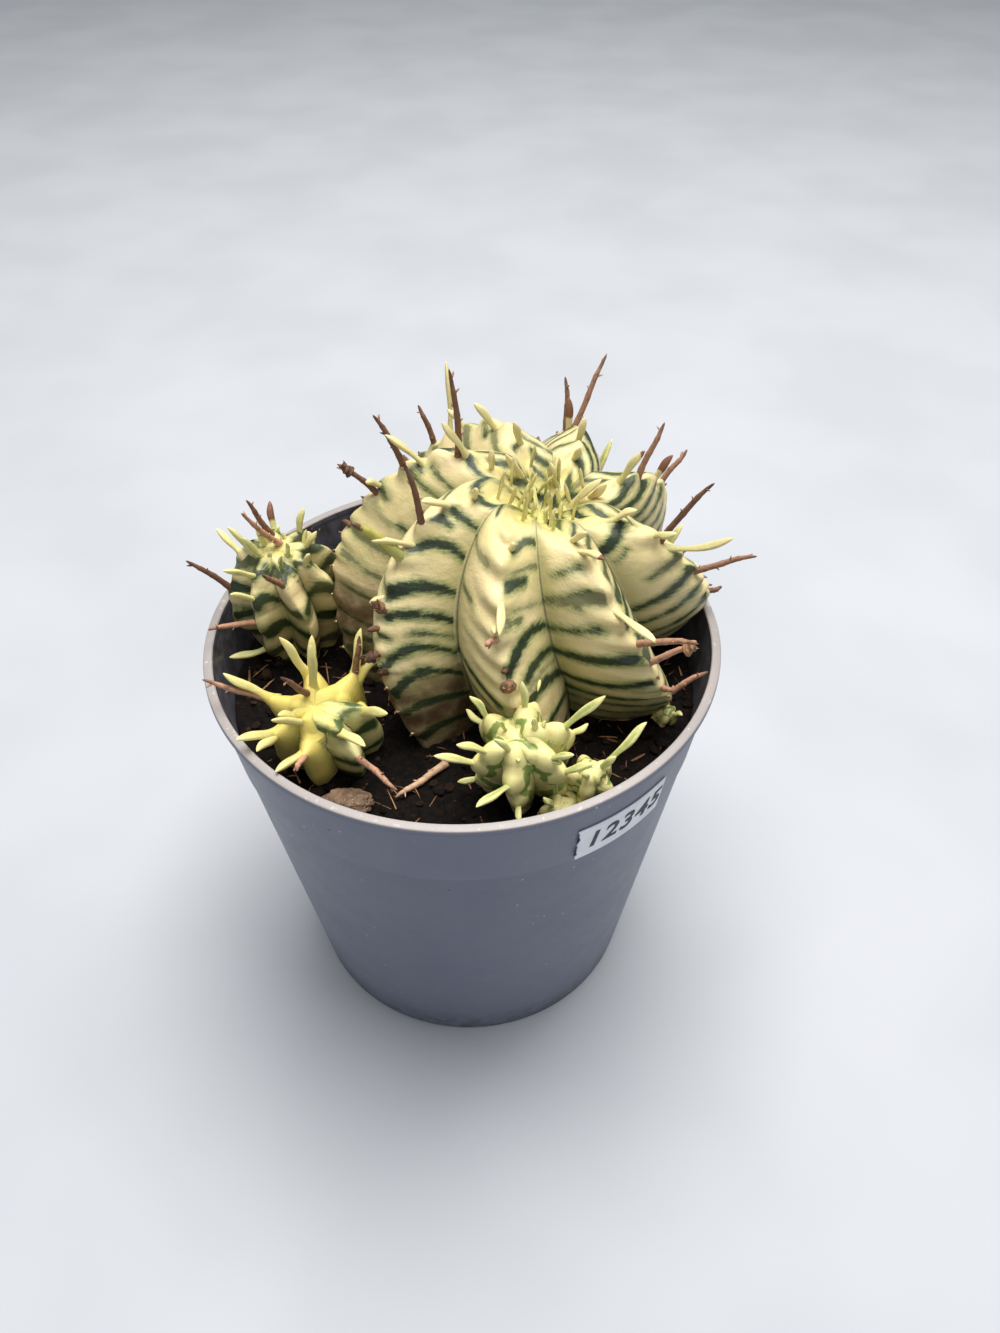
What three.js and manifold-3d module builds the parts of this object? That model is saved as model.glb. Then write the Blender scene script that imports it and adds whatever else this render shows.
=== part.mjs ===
// A variegated melon spurge in a round plastic nursery pot.
// Units are millimetres. Z is up, Z = 0 is the underside of the pot, and the pot's axis is the Z axis.
// The ribbed main head leans a little, and smaller offset heads crowd round its foot.

import * as THREE from 'three';
import { mergeVertices } from 'three/addons/utils/BufferGeometryUtils.js';
import Module from 'manifold-3d';

const wasm = await Module();
wasm.setup();

// Driving dimensions of the pot
const POT_HEIGHT = 76.3;
const RIM_RADIUS = 42.5;
const RIM_WIDTH = 1.5;
const RIM_THICKNESS = 1.1;
const WALL = 1.0;
const BASE_RADIUS = 31.7;
const STEP_HEIGHT = 61;
const DRAIN_HOLES = 6;
const DRAIN_HOLE_RADIUS = 2.5;
const DRAIN_CIRCLE_RADIUS = 16.5;
const POT_SIDES = 40;

// Driving dimensions of the soil, the label and the loose pieces
const GAP = 0.35;
const HEAD_CLEARANCE = 0.6;
const SOIL_LEVEL = 65.4;
const LABEL_START = 292.3;
const LABEL_END = 317;
const LABEL_BOTTOM = 61.6;
const LABEL_TOP = 69.6;
const LABEL_THICKNESS = 0.4;

// Sizes shared by the leaves and the dry flower stalks
const LEAF_HALF_WIDTH = 0.95;
const LEAF_HALF_THICKNESS = 0.5;
const STALK_RADIUS = 0.6;
const ROOT_DEPTH = 1.3;

const DEGREE = Math.PI / 180;

// Each head is a ribbed dome on a tapering foot. Angles are in degrees. The polar angle runs
// from 0 at the growing tip to 90 at the widest place and on to "foot" at the buried end.
// Ribs count anticlockwise from rib 0 at the azimuth "start". Along each crest sit raised
// knobs: "firstKnob" is the first one's polar angle and "knobStep" is the angle between two,
// widened by "knobSpread" about "knobMiddle", where the knobs stand furthest apart.
const MAIN_HEAD = {
  centre: [10.4, 6.8, 79.8], lean: [0.14, -0.11],
  radius: 31.5, height: 26.6, depth: 39, roundness: 1.2, foot: 142,
  dimpleDepth: 10.8, dimpleRadius: 10.4, twist: -40, footTwist: 0.65, start: 269, ribs: 8,
  valley: 0.34, skew: -7,
  firstKnob: 6, knobStep: 6.5, knobSpread: 4.5, knobMiddle: 34, knobSigma: 14,
  knobHeight: 0.6, knobExtra: 1.1, extraMiddle: 38, extraSigma: 22,
};
const LEFT_OFFSET = {
  centre: [-29.6, 9.8, 77.5], lean: [-0.05, -0.1],
  radius: 8.9, height: 9.2, depth: 18, roundness: 1, foot: 145,
  dimpleDepth: 1.2, dimpleRadius: 3, twist: -20, footTwist: 0, start: 250, ribs: 8,
  valley: 0.32, skew: 0,
  firstKnob: 14, knobStep: 20, knobSpread: 6, knobMiddle: 50, knobSigma: 30,
  knobHeight: 0.8, knobExtra: 0.5, extraMiddle: 60, extraSigma: 30,
};
const YELLOW_OFFSET = {
  centre: [-21.8, -17.3, 70.5], lean: [-0.1, -0.3],
  radius: 8.6, height: 8.4, depth: 12, roundness: 1, foot: 145,
  dimpleDepth: 0.5, dimpleRadius: 3, twist: 0, footTwist: 0, start: 257, ribs: 7,
  valley: 0.36, skew: 0,
  firstKnob: 16, knobStep: 26, knobSpread: 6, knobMiddle: 50, knobSigma: 30,
  knobHeight: 1.2, knobExtra: 1, extraMiddle: 60, extraSigma: 30,
};
const FRONT_OFFSET = {
  centre: [8.3, -27.4, 75], lean: [-0.1, -0.38],
  radius: 6.5, height: 6, depth: 14, roundness: 1, foot: 145,
  dimpleDepth: 0.3, dimpleRadius: 2, twist: 0, footTwist: 0, start: 258, ribs: 6,
  valley: 0.28, skew: 0,
  firstKnob: 24, knobStep: 34, knobSpread: 0, knobMiddle: 50, knobSigma: 30,
  knobHeight: 0.8, knobExtra: 0.6, extraMiddle: 60, extraSigma: 30,
};
const SMALL_OFFSET = {
  lean: [0, -0.3], columns: 2,
  radius: 3.1, height: 4, depth: 9, roundness: 1, foot: 145,
  dimpleDepth: 0.2, dimpleRadius: 2, twist: 0, footTwist: 0, start: 250, ribs: 5,
  valley: 0.25, skew: 0,
  firstKnob: 24, knobStep: 36, knobSpread: 0, knobMiddle: 50, knobSigma: 30,
  knobHeight: 0.5, knobExtra: 0.3, extraMiddle: 60, extraSigma: 30,
};
const FRONT_RIGHT_OFFSET = { ...SMALL_OFFSET, centre: [18.2, -30.2, 71.5] };
const LOWER_FRONT_OFFSET = {
  ...SMALL_OFFSET, centre: [13.6, -33, 67.4], radius: 2.5, height: 2.8, depth: 6,
};
const RIGHT_BUD = {
  ...SMALL_OFFSET, centre: [32.6, -13.2, 67.3], lean: [0.2, -0.3], radius: 2.1, height: 3, depth: 6,
};
const BACK_OFFSET = {
  ...SMALL_OFFSET, centre: [23, 30, 76], lean: [0.1, 0.1], radius: 4.4, height: 5, depth: 15,
};
const RIGHT_OFFSET = {
  ...SMALL_OFFSET, centre: [33.4, 14.6, 73.5], lean: [0.2, 0], radius: 3.4, height: 4, depth: 12,
};

// What grows on a head: rib, knob along that rib (a half is between two), kind, length, lean
// and turn. The lean is the angle up from the surface's normal towards the growing tip, and
// the turn is the angle towards the next rib. A last number bows the piece by that much.
const MAIN_GROWTH = [
  [0, 3.5, 'leaf', 2, -5, 45], [0, 4.5, 'leaf', 6.5, -55, 5], [0, 5.5, 'leaf', 3.5, -30, -10],
  [0, 6, 'stub', 3.5, -10, -35], [0, 8, 'flower', 2.5, 35, 5],
  [1, 2, 'leaf', 4, -60, 15], [1, 2.5, 'leaf', 9, -65, -5], [1, 4.5, 'leaf', 9.5, -40, -5],
  [1, 6, 'stalk', 11, 0, 15], [1, 7.5, 'flower', 9, 25, 30], [1, 9, 'stub', 2, 15, 0],
  [1, 11.5, 'stalk', 9.5, 72, 42],
  [2, 2.5, 'leaf', 6.5, -60, -10], [2, 4, 'leaf', 4.5, -15, -35], [2, 4.5, 'leaf', 12, -15, -15, -1.6],
  [2, 4.5, 'stalk', 13.5, 15, 10], [2, 6.5, 'stalk', 11, 10, -5], [2, 9, 'stub', 2, 10, 10],
  [3, 0, 'leaf', 8, -60, -10], [3, 1, 'leaf', 5.5, -50, -35], [3, 2.5, 'leaf', 7.5, -20, -15],
  [3, 3.5, 'stalk', 10.5, 15, 5], [3, 4.5, 'leaf', 5.5, 20, 5], [3, 5.5, 'stalk', 8, 25, 5],
  [3, 9, 'stub', 2.5, 20, 0],
  [4, 1, 'leaf', 5, -15, 20], [4, 2.5, 'leaf', 3.5, 0, -20], [4, 3.5, 'leaf', 4.5, 10, 0],
  [4, 5.5, 'leaf', 6.5, 30, 25], [4, 5.5, 'stalk', 15, 30, 0], [4, 6, 'stalk', 9.5, 30, 25],
  [4, 9, 'stub', 2, 15, 10],
  [5, 0.5, 'leaf', 8, -35, 40], [5, 2, 'leaf', 5, -20, 25], [5, 3.5, 'leaf', 6.5, -5, 45],
  [5, 5, 'leaf', 4, 0, 45], [5, 6, 'leaf', 12, 30, 5], [5, 7, 'stalk', 7.5, 30, 30],
  [5, 9, 'stub', 2, 10, 0],
  [6, 2, 'leaf', 4, -40, 10], [6, 3, 'leaf', 7.5, -45, 15], [6, 3.5, 'stalk', 15, 0, 0],
  [6, 4.5, 'leaf', 8, -20, 15], [6, 5, 'stalk', 10, 10, 10], [6, 6, 'leaf', 3, -25, 40],
  [6, 6.5, 'flower', 7, 0, 10],
  [7, 2, 'leaf', 4, -45, 25], [7, 3, 'leaf', 6, -55, 10], [7, 4, 'stalk', 11, 25, -5],
  [7, 4.5, 'leaf', 7.5, -25, -5], [7, 5, 'stout', 10, 5, -10], [7, 6.5, 'leaf', 3, -25, 5],
  [7, 8, 'stub', 2, 0, 0],
];
const LEFT_GROWTH = [
  [5, 0, 'stalk', 10, 20, 20], [5, 1, 'leaf', 4.5, 15, -5], [6, 0, 'leaf', 4.5, -5, 15],
  [4, 1, 'leaf', 4.5, 20, -5], [7, 0, 'leaf', 7, -5, 0], [0, 1, 'leaf', 6, -10, -20],
  [7, 2, 'stalk', 10, 45, 0], [0, 2, 'leaf', 4.5, 30, -15], [0, 3, 'leaf', 9, 35, -35],
  [0, 0, 'leaf', 5.5, -25, -25], [1, 1, 'stalk', 7, 40, -25], [2, 1, 'leaf', 4, 10, -10],
  [3, 0, 'leaf', 4, -20, -15], [4, 0, 'stalk', 12, 25, 10], [6, 2, 'leaf', 5, 20, 0],
];
const YELLOW_GROWTH = [
  [4, 1, 'leaf', 7, 25, 15], [4, 1, 'leaf', 5, 15, -20], [3, 1, 'leaf', 6, 20, 15],
  [4, 0, 'leaf', 7.5, -10, -15], [3, 1, 'leaf', 7, 0, -20], [5, 1, 'leaf', 7.5, 25, 10],
  [6, 0, 'leaf', 3.5, -25, 10], [0, 0, 'leaf', 6, -20, -30], [6, 1, 'leaf', 6, 0, 10],
  [0, 1, 'leaf', 5, -10, -20], [6, 1, 'leaf', 4, -5, 35], [1, 0, 'leaf', 6, -40, 10],
  [1, 1, 'stalk', 10, -15, 5], [2, 1, 'leaf', 6, 0, -30], [5, 1, 'stalk', 11, 15, 20],
  [0, 1, 'stalk', 5, -10, 5], [3, 1, 'stalk', 8, 40, 0], [4, 0, 'flower', 10, 20, 15],
];
const FRONT_GROWTH = [
  [4, 1, 'leaf', 4, 20, -5], [3, 0, 'leaf', 4.5, 15, 5], [2, 1, 'leaf', 8, 10, 0],
  [2, 0, 'leaf', 3, 25, 10], [5, 0, 'leaf', 5.5, 0, -10], [5, 1, 'leaf', 6.5, 30, -15],
  [0, 0, 'leaf', 4.5, 30, -35], [0, 1, 'leaf', 6.5, 5, -35], [1, 0, 'leaf', 4.5, 0, 20],
  [1, 1, 'leaf', 5.5, 40, 30],
];
const FRONT_RIGHT_GROWTH = [[2, 1, 'leaf', 8, 15, 0], [2, 0, 'leaf', 4, 10, -20], [0, 0, 'leaf', 2.5, 10, -20]];
const LOWER_FRONT_GROWTH = [[4, 0, 'leaf', 3.5, 0, 0], [3, 0, 'leaf', 3, 0, 0], [1, 0, 'leaf', 2, 20, 0]];
const RIGHT_BUD_GROWTH = [[1, 0, 'leaf', 1.6, 30, 0], [3, 0, 'leaf', 1.6, 20, 0]];
const BACK_GROWTH = [
  [0, 0, 'leaf', 9, 5, 0], [1, 0, 'leaf', 8, 5, 0], [2, 0, 'leaf', 10, 5, 5], [3, 0, 'leaf', 7, 5, 0],
  [4, 0, 'leaf', 8, 10, 0],
];
const RIGHT_GROWTH = [
  [0, 0, 'leaf', 6, 5, 0], [1, 0, 'leaf', 6, 0, 0], [2, 0, 'leaf', 7, 5, 0],
];

// A small repeatable random draw between 0 and 1
function makeRandom(seed) {
  let state = seed;
  return () => {
    state = (state * 16807) % 2147483647;
    return state / 2147483647;
  };
}

function bell(value, middle, sigma) {
  return Math.exp(-(((value - middle) / sigma) ** 2));
}

// The three axes of a head: sideways, away from the viewer's side, and along its own stem
function headAxes(head) {
  const stem = new THREE.Vector3(head.lean[0], head.lean[1], 1).normalize();
  const side = new THREE.Vector3(1, 0, 0).addScaledVector(stem, -stem.x).normalize();
  return { side, far: new THREE.Vector3().crossVectors(stem, side), stem };
}

// Polar angles of the knobs on the even ribs; on the odd ribs they sit half a step further
function knobAngles(head) {
  const angles = [];
  let angle = head.firstKnob;
  while (angle < head.foot) {
    angles.push(angle);
    angle += head.knobStep + head.knobSpread * bell(angle, head.knobMiddle, head.knobSigma);
  }
  return angles;
}

function knobAngle(head, rib, knob) {
  const angles = knobAngles(head);
  const place = knob + (rib % 2) / 2;
  const before = Math.floor(place);
  return angles[before] + (place - before) * (angles[before + 1] - angles[before]);
}

// 1 on top of a knob and 0 half way between two
function knobWave(head, rib, polar) {
  const angles = knobAngles(head);
  const tops = angles.slice(0, -1).map((angle, knob) => knobAngle(head, rib, knob));
  if (polar < tops[0]) return 1;
  for (let knob = 0; knob + 1 < tops.length; knob++) {
    if (polar < tops[knob + 1]) {
      return 0.5 + 0.5 * Math.cos((2 * Math.PI * (polar - tops[knob])) / (tops[knob + 1] - tops[knob]));
    }
  }
  return 0;
}

// The azimuth of a rib's crest: the ribs wind round the head, above its widest place and below it
function crestTurn(head, rib, polar) {
  return head.start + (rib * 360) / head.ribs
    + head.twist * (1 - Math.min(polar / 90, 1)) + head.footTwist * Math.max(0, polar - 90);
}

// A stem pressed against the pot gives way: no point gets nearer to the wall and the rim than this
function pressAgainstPot(point) {
  const limit = 40.2 + Math.max(0, point.z - POT_HEIGHT - 0.7) * 1.6 - Math.max(0, 74 - point.z) * 0.14;
  const reach = Math.hypot(point.x, point.y);
  if (reach > limit) {
    point.x *= limit / reach;
    point.y *= limit / reach;
  }
  return point;
}

// A point of a head's skin. "across" runs from -1 to 1 between the two valleys beside a rib.
function headPoint(head, rib, across, polar, knobs = true) {
  const sine = Math.sin(polar * DEGREE);
  const cosine = Math.cos(polar * DEGREE);
  let reach = head.radius * Math.abs(sine) ** head.roundness;
  let height = cosine > 0 ? head.height * cosine ** head.roundness : head.depth * cosine;
  height -= head.dimpleDepth * bell(reach, 0, head.dimpleRadius);
  const turn = crestTurn(head, rib + across / 2, polar) + head.skew * Math.abs(across);
  reach *= 1 - head.valley * Math.abs(across) ** 1.35;
  if (knobs) {
    const bump = (head.knobHeight + head.knobExtra * bell(polar, head.extraMiddle, head.extraSigma))
      * knobWave(head, rib, polar) * bell(across, 0, 0.3) * Math.min(1, polar / 12);
    reach += bump * sine;
    height += bump * Math.max(cosine, 0) * 0.7;
  }
  const { side, far, stem } = headAxes(head);
  const point = new THREE.Vector3(...head.centre)
    .addScaledVector(side, reach * Math.cos(turn * DEGREE))
    .addScaledVector(far, reach * Math.sin(turn * DEGREE))
    .addScaledVector(stem, height);
  return pressAgainstPot(point);
}

// The outward normal of a head's skin, leaving out the knobs
function headNormal(head, rib, across, polar) {
  const { stem } = headAxes(head);
  if (polar < 2) return stem;
  const place = (shift) => {
    const turned = rib + across / 2 + shift;
    const nearest = Math.floor(turned + 0.5);
    return headPoint(head, nearest, 2 * (turned - nearest), polar, false);
  };
  const around = place(0.02).sub(place(-0.02));
  const down = headPoint(head, rib, across, polar + 1, false)
    .sub(headPoint(head, rib, across, polar - 1, false));
  return down.cross(around).normalize();
}

// The polar angles of the rows of faces: every knob top and the dip after it, coarser below
function headRows(head) {
  const angles = knobAngles(head);
  const rows = [0];
  angles.forEach((angle, knob) => {
    if (angle > 116) return;
    rows.push(angle);
    if (angle < 92 && knob + 1 < angles.length) rows.push((angle + angles[knob + 1]) / 2);
  });
  const last = rows[rows.length - 1];
  rows.push(last + (head.foot - last) * 0.35, last + (head.foot - last) * 0.7, head.foot, 180);
  return rows;
}

function solid(geometry) {
  const bare = geometry.clone();
  bare.deleteAttribute('normal');
  bare.deleteAttribute('uv');
  const merged = mergeVertices(bare, 1e-5);
  return new wasm.Manifold(new wasm.Mesh({
    numProp: 3,
    vertProperties: new Float32Array(merged.attributes.position.array),
    triVerts: new Uint32Array(merged.index.array),
  }));
}

// The ribbed body: a turned shape whose vertices are moved to the head's formula
function headBody(head, grow = 0) {
  const columns = head.columns ?? 4;
  const rows = headRows(head).reverse();
  const across = Array.from({ length: columns }, (unused, column) => -1 + (2 * column) / columns);
  const segments = head.ribs * columns;
  const profile = rows.map((row) => new THREE.Vector2(Math.sin(row * DEGREE), Math.cos(row * DEGREE)));
  const geometry = new THREE.LatheGeometry(profile, segments);
  const position = geometry.attributes.position;
  for (let segment = 0; segment <= segments; segment++) {
    const place = segment % segments;
    rows.forEach((row, index) => {
      const rib = Math.floor(place / columns);
      let point = headPoint(head, rib, across[place % columns], row);
      if (row === 180) {
        point = headPoint(head, 0, 0, head.foot, false).lerp(headPoint(head, head.ribs / 2, 0, head.foot, false), 0.5);
      } else if (grow > 0) {
        point.addScaledVector(headNormal(head, rib, across[place % columns], row), grow);
      }
      if (row >= head.foot) point.addScaledVector(headAxes(head).stem, -grow);
      position.setXYZ(segment * rows.length + index, point.x, point.y, point.z);
    });
  }
  return solid(geometry);
}

// Where a piece grows: the crest point, with the normal, the way up the crest and the way to the next rib
function crestFrame(head, rib, knob) {
  const polar = knobAngle(head, rib, knob);
  const point = headPoint(head, rib, 0, polar);
  const above = headPoint(head, rib, 0, polar - 2, false);
  const below = headPoint(head, rib, 0, polar + 2, false);
  const up = above.sub(below).normalize();
  const { side, far, stem } = headAxes(head);
  const turn = crestTurn(head, rib, polar) * DEGREE;
  const outward = side.clone().multiplyScalar(Math.cos(turn)).addScaledVector(far, Math.sin(turn));
  const along = new THREE.Vector3().crossVectors(stem, outward);
  const normal = new THREE.Vector3().crossVectors(along, up).normalize();
  if (normal.dot(outward) * Math.sin(polar * DEGREE) + normal.dot(stem) * Math.cos(polar * DEGREE) < 0) {
    normal.negate();
  }
  const next = new THREE.Vector3().crossVectors(normal, up);
  if (next.dot(along) < 0) next.negate();
  return { point, normal, up, next };
}

// A slender piece: a many-sided cone whose vertices are moved to follow a bowed centre line
function slender(frame, length, lean, turn, bow, sides, halfWidth, halfThickness, profile) {
  const direction = frame.normal.clone().multiplyScalar(Math.cos(lean * DEGREE) * Math.cos(turn * DEGREE))
    .addScaledVector(frame.up, Math.sin(lean * DEGREE) * Math.cos(turn * DEGREE))
    .addScaledVector(frame.next, Math.sin(turn * DEGREE));
  const broad = new THREE.Vector3().crossVectors(direction, frame.up);
  if (broad.length() < 0.3) broad.copy(frame.next);
  broad.normalize();
  const face = new THREE.Vector3().crossVectors(broad, direction).normalize();
  if (face.dot(frame.up) < 0) {
    face.negate();
    broad.negate();
  }
  const start = frame.point.clone().addScaledVector(frame.normal, -ROOT_DEPTH);
  const end = frame.point.clone().addScaledVector(direction, length);
  const geometry = new THREE.ConeGeometry(1, 1, sides, profile.length - 1);
  const position = geometry.attributes.position;
  for (let index = 0; index < position.count; index++) {
    const share = position.getY(index) + 0.5;
    const row = Math.round(share * (profile.length - 1));
    const [along, width] = profile[row];
    const ring = Math.hypot(position.getX(index), position.getZ(index));
    const cosine = ring > 1e-6 ? position.getX(index) / ring : 0;
    const sine = ring > 1e-6 ? position.getZ(index) / ring : 0;
    const centre = start.clone().lerp(end, along)
      .addScaledVector(face, 4 * bow * along * (1 - along));
    centre.addScaledVector(broad, width * halfWidth * cosine);
    centre.addScaledVector(face, width * halfThickness * sine);
    position.setXYZ(index, centre.x, centre.y, centre.z);
  }
  return solid(geometry);
}

const LEAF_PROFILE = [[0, 0.7], [0.4, 1], [0.8, 0.95], [1, 0]];
const STALK_PROFILE = [[0, 1], [0.6, 0.85], [0.93, 0.7], [1, 0]];

function growthPiece(head, item) {
  const [rib, knob, kind, length, lean, turn, bow = length * 0.04] = item;
  const frame = crestFrame(head, rib, knob);
  if (kind === 'leaf') {
    const width = LEAF_HALF_WIDTH * Math.min(1, 0.55 + length / 14);
    return slender(frame, length, lean, turn, bow, 4, width, LEAF_HALF_THICKNESS, LEAF_PROFILE);
  }
  if (kind === 'stout') {
    return slender(frame, length, lean, turn, bow, 5, 1.2, 1, STALK_PROFILE);
  }
  const stalk = slender(frame, length, lean, turn, bow, 4, STALK_RADIUS, STALK_RADIUS, STALK_PROFILE);
  if (kind !== 'flower') return stalk;
  const bloom = new THREE.IcosahedronGeometry(1.25, 0);
  const direction = frame.normal.clone().multiplyScalar(Math.cos(lean * DEGREE) * Math.cos(turn * DEGREE))
    .addScaledVector(frame.up, Math.sin(lean * DEGREE) * Math.cos(turn * DEGREE))
    .addScaledVector(frame.next, Math.sin(turn * DEGREE));
  const tip = frame.point.clone().addScaledVector(direction, length - 0.6);
  bloom.translate(tip.x, tip.y, tip.z);
  return stalk.add(solid(bloom));
}

// Young leaves round the growing tip, one on the first knob of each rib
function youngLeaves(head, seed, shortest, longest) {
  const random = makeRandom(seed);
  return Array.from({ length: head.ribs }, (unused, rib) => [
    rib, 0, 'leaf', shortest + (longest - shortest) * random(), -10 + 30 * random(), -20 + 40 * random(),
  ]);
}

// A head with all that grows on it, joined into one solid
function wholeHead(head, growth, keptClear = []) {
  let body = headBody(head);
  for (const item of growth) body = body.add(growthPiece(head, item));
  for (const neighbour of keptClear) body = body.subtract(neighbour);
  return largestPiece(body);
}

// The largest separate part of a solid; scraps cut off by a neighbour are dropped
function largestPiece(manifold) {
  const pieces = manifold.decompose();
  pieces.sort((first, second) => second.volume() - first.volume());
  return pieces[0];
}

// The pot, turned in one piece, with drain holes in its raised floor
function makePot() {
  const top = POT_HEIGHT;
  const profile = [
    [0, 0], [8, 0], [9, 2.5], [24, 2.5], [26, 0], [BASE_RADIUS - 0.6, 0], [BASE_RADIUS, 0.7],
    [39.8, STEP_HEIGHT], [40.1, STEP_HEIGHT + 0.6], [RIM_RADIUS - 0.7, top - RIM_THICKNESS],
    [RIM_RADIUS, top - RIM_THICKNESS], [RIM_RADIUS, top - 0.3], [RIM_RADIUS - 0.3, top],
    [RIM_RADIUS - RIM_WIDTH, top], [40.9 - 0.1, top - 1.6], [39.8 - WALL, STEP_HEIGHT],
    [BASE_RADIUS - WALL, 1.5], [26.6, 1.5], [24.6, 3.8], [8.4, 3.8], [7.4, 1.5], [0, 1.5],
  ].map(([radius, height]) => new THREE.Vector2(radius, height));
  let pot = solid(new THREE.LatheGeometry(profile, POT_SIDES).rotateX(Math.PI / 2));
  for (let hole = 0; hole < DRAIN_HOLES; hole++) {
    const angle = ((hole + 0.5) / DRAIN_HOLES) * 2 * Math.PI;
    const drill = new THREE.CylinderGeometry(DRAIN_HOLE_RADIUS, DRAIN_HOLE_RADIUS, 8, 12);
    drill.rotateX(Math.PI / 2);
    drill.translate(DRAIN_CIRCLE_RADIUS * Math.cos(angle), DRAIN_CIRCLE_RADIUS * Math.sin(angle), 3);
    pot = pot.subtract(solid(drill));
  }
  return pot;
}

// The uneven surface of the soil
function soilHeight(x, y) {
  return SOIL_LEVEL + 0.45 * Math.sin(x * 0.31 + 1.2) * Math.cos(y * 0.27) + 0.3 * Math.sin(x * 0.11 - y * 0.73);
}

// The soil fills the pot, with a plain hole for the foot of each head
function makeSoil(feet) {
  const inner = 39.8 - WALL + ((SOIL_LEVEL - STEP_HEIGHT) / (POT_HEIGHT - 1.6 - STEP_HEIGHT)) * 2;
  const rings = [0, 9, 18, 26, 32, 36, inner - GAP];
  const floor = [[BASE_RADIUS - WALL, 3.8 + GAP], [0, 3.8 + GAP]];
  const wall = [[39.8 - WALL - GAP, STEP_HEIGHT]];
  const profile = [...rings.map((radius) => [radius, SOIL_LEVEL]), ...wall, ...floor]
    .map(([radius, height]) => new THREE.Vector2(radius, height));
  const geometry = new THREE.LatheGeometry(profile.reverse(), POT_SIDES).rotateX(Math.PI / 2);
  const position = geometry.attributes.position;
  for (let index = 0; index < position.count; index++) {
    if (position.getZ(index) > SOIL_LEVEL - 0.1) {
      const x = Math.round(position.getX(index) * 1000) / 1000;
      const y = Math.round(position.getY(index) * 1000) / 1000;
      const edge = Math.min(1, (inner - Math.hypot(x, y)) / 4);
      position.setZ(index, SOIL_LEVEL + (soilHeight(x, y) - SOIL_LEVEL) * Math.max(0, edge));
    }
  }
  let soil = solid(geometry);
  for (const foot of feet) soil = soil.subtract(foot);
  return largestPiece(soil);
}

// A paper label, bent round the wall under the rim
function makeLabel() {
  const geometry = new THREE.BoxGeometry(1, 1, 1, 10, 1, 1);
  const position = geometry.attributes.position;
  for (let index = 0; index < position.count; index++) {
    const along = position.getX(index) + 0.5;
    const depth = position.getY(index) + 0.5;
    const up = position.getZ(index) + 0.5;
    const angle = (LABEL_START + (LABEL_END - LABEL_START) * along) * DEGREE;
    const height = LABEL_BOTTOM + (LABEL_TOP - LABEL_BOTTOM) * up;
    const wall = 40.1 + ((height - STEP_HEIGHT - 0.6) / (POT_HEIGHT - RIM_THICKNESS - STEP_HEIGHT - 0.6)) * 1.7;
    const radius = wall + 0.3 + LABEL_THICKNESS * (1 - depth);
    position.setXYZ(index, radius * Math.cos(angle), radius * Math.sin(angle), height);
  }
  return solid(geometry);
}

// A flat clod of dry soil lying on the surface
function makeClod() {
  const random = makeRandom(77);
  const geometry = new THREE.IcosahedronGeometry(1, 1);
  geometry.deleteAttribute('normal');
  geometry.deleteAttribute('uv');
  const merged = mergeVertices(geometry, 1e-4);
  const position = merged.attributes.position;
  for (let index = 0; index < position.count; index++) {
    const size = 0.9 + 0.2 * random();
    const flat = Math.max(-0.55, position.getZ(index));
    position.setXYZ(index, 4 * size * position.getX(index), 2.3 * size * position.getY(index), 1.5 * flat);
  }
  merged.rotateZ(-0.1);
  merged.translate(-18.2, -28.9, 67.1);
  return solid(merged);
}

// A dry flower stalk that has dropped onto the soil
function makeFallenStalk() {
  const frame = {
    point: new THREE.Vector3(-4.6, -21.6, 66.2),
    normal: new THREE.Vector3(-0.92, -0.39, 0).normalize(),
    up: new THREE.Vector3(0, 0, 1),
    next: new THREE.Vector3(0.39, -0.92, 0).normalize(),
  };
  return slender(frame, 9, 0, 20, 0, 5, STALK_RADIUS, STALK_RADIUS, STALK_PROFILE);
}

function finish(name, manifold, colour, roughness) {
  const mesh = manifold.getMesh();
  const geometry = new THREE.BufferGeometry();
  geometry.setAttribute('position', new THREE.BufferAttribute(new Float32Array(mesh.vertProperties), 3));
  geometry.setIndex(new THREE.BufferAttribute(new Uint32Array(mesh.triVerts), 1));
  geometry.computeVertexNormals();
  const material = new THREE.MeshStandardMaterial({ color: colour, roughness, metalness: 0 });
  const object = new THREE.Mesh(geometry, material);
  object.name = name;
  return object;
}

const HEADS = [
  ['main_head', MAIN_HEAD, [...MAIN_GROWTH, ...youngLeaves(MAIN_HEAD, 11, 2, 3.5)], 0xb9b677],
  ['left_offset', LEFT_OFFSET, [...LEFT_GROWTH], 0xb4b36c],
  ['yellow_offset', YELLOW_OFFSET, [...YELLOW_GROWTH], 0xc9bd55],
  ['front_offset', FRONT_OFFSET, [...FRONT_GROWTH], 0xc0c483],
  ['front_right_offset', FRONT_RIGHT_OFFSET, FRONT_RIGHT_GROWTH, 0xb5bf7a],
  ['lower_front_offset', LOWER_FRONT_OFFSET, LOWER_FRONT_GROWTH, 0xa9b263],
  ['right_bud', RIGHT_BUD, RIGHT_BUD_GROWTH, 0xaab56a],
  ['back_offset', BACK_OFFSET, BACK_GROWTH, 0xa6b56a],
  ['right_offset', RIGHT_OFFSET, RIGHT_GROWTH, 0xa6b56a],
];

const plant = new THREE.Group();
plant.add(finish('pot', makePot(), 0x59606f, 0.5));

// Each head keeps clear of the bodies of the heads before it, as heads do that grow pressed together
const grown = [];
for (const [name, head, growth, colour] of HEADS) {
  plant.add(finish(name, wholeHead(head, growth, grown), colour, 0.5));
  grown.push(headBody(head, HEAD_CLEARANCE));
}
plant.add(finish('soil', makeSoil(grown), 0x2b211b, 0.95));
plant.add(finish('label', makeLabel(), 0xe4e6ea, 0.6));
plant.add(finish('clod', makeClod(), 0x6a5748, 0.9));
plant.add(finish('fallen_stalk', makeFallenStalk(), 0xb59a72, 0.8));

export default plant;
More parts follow.
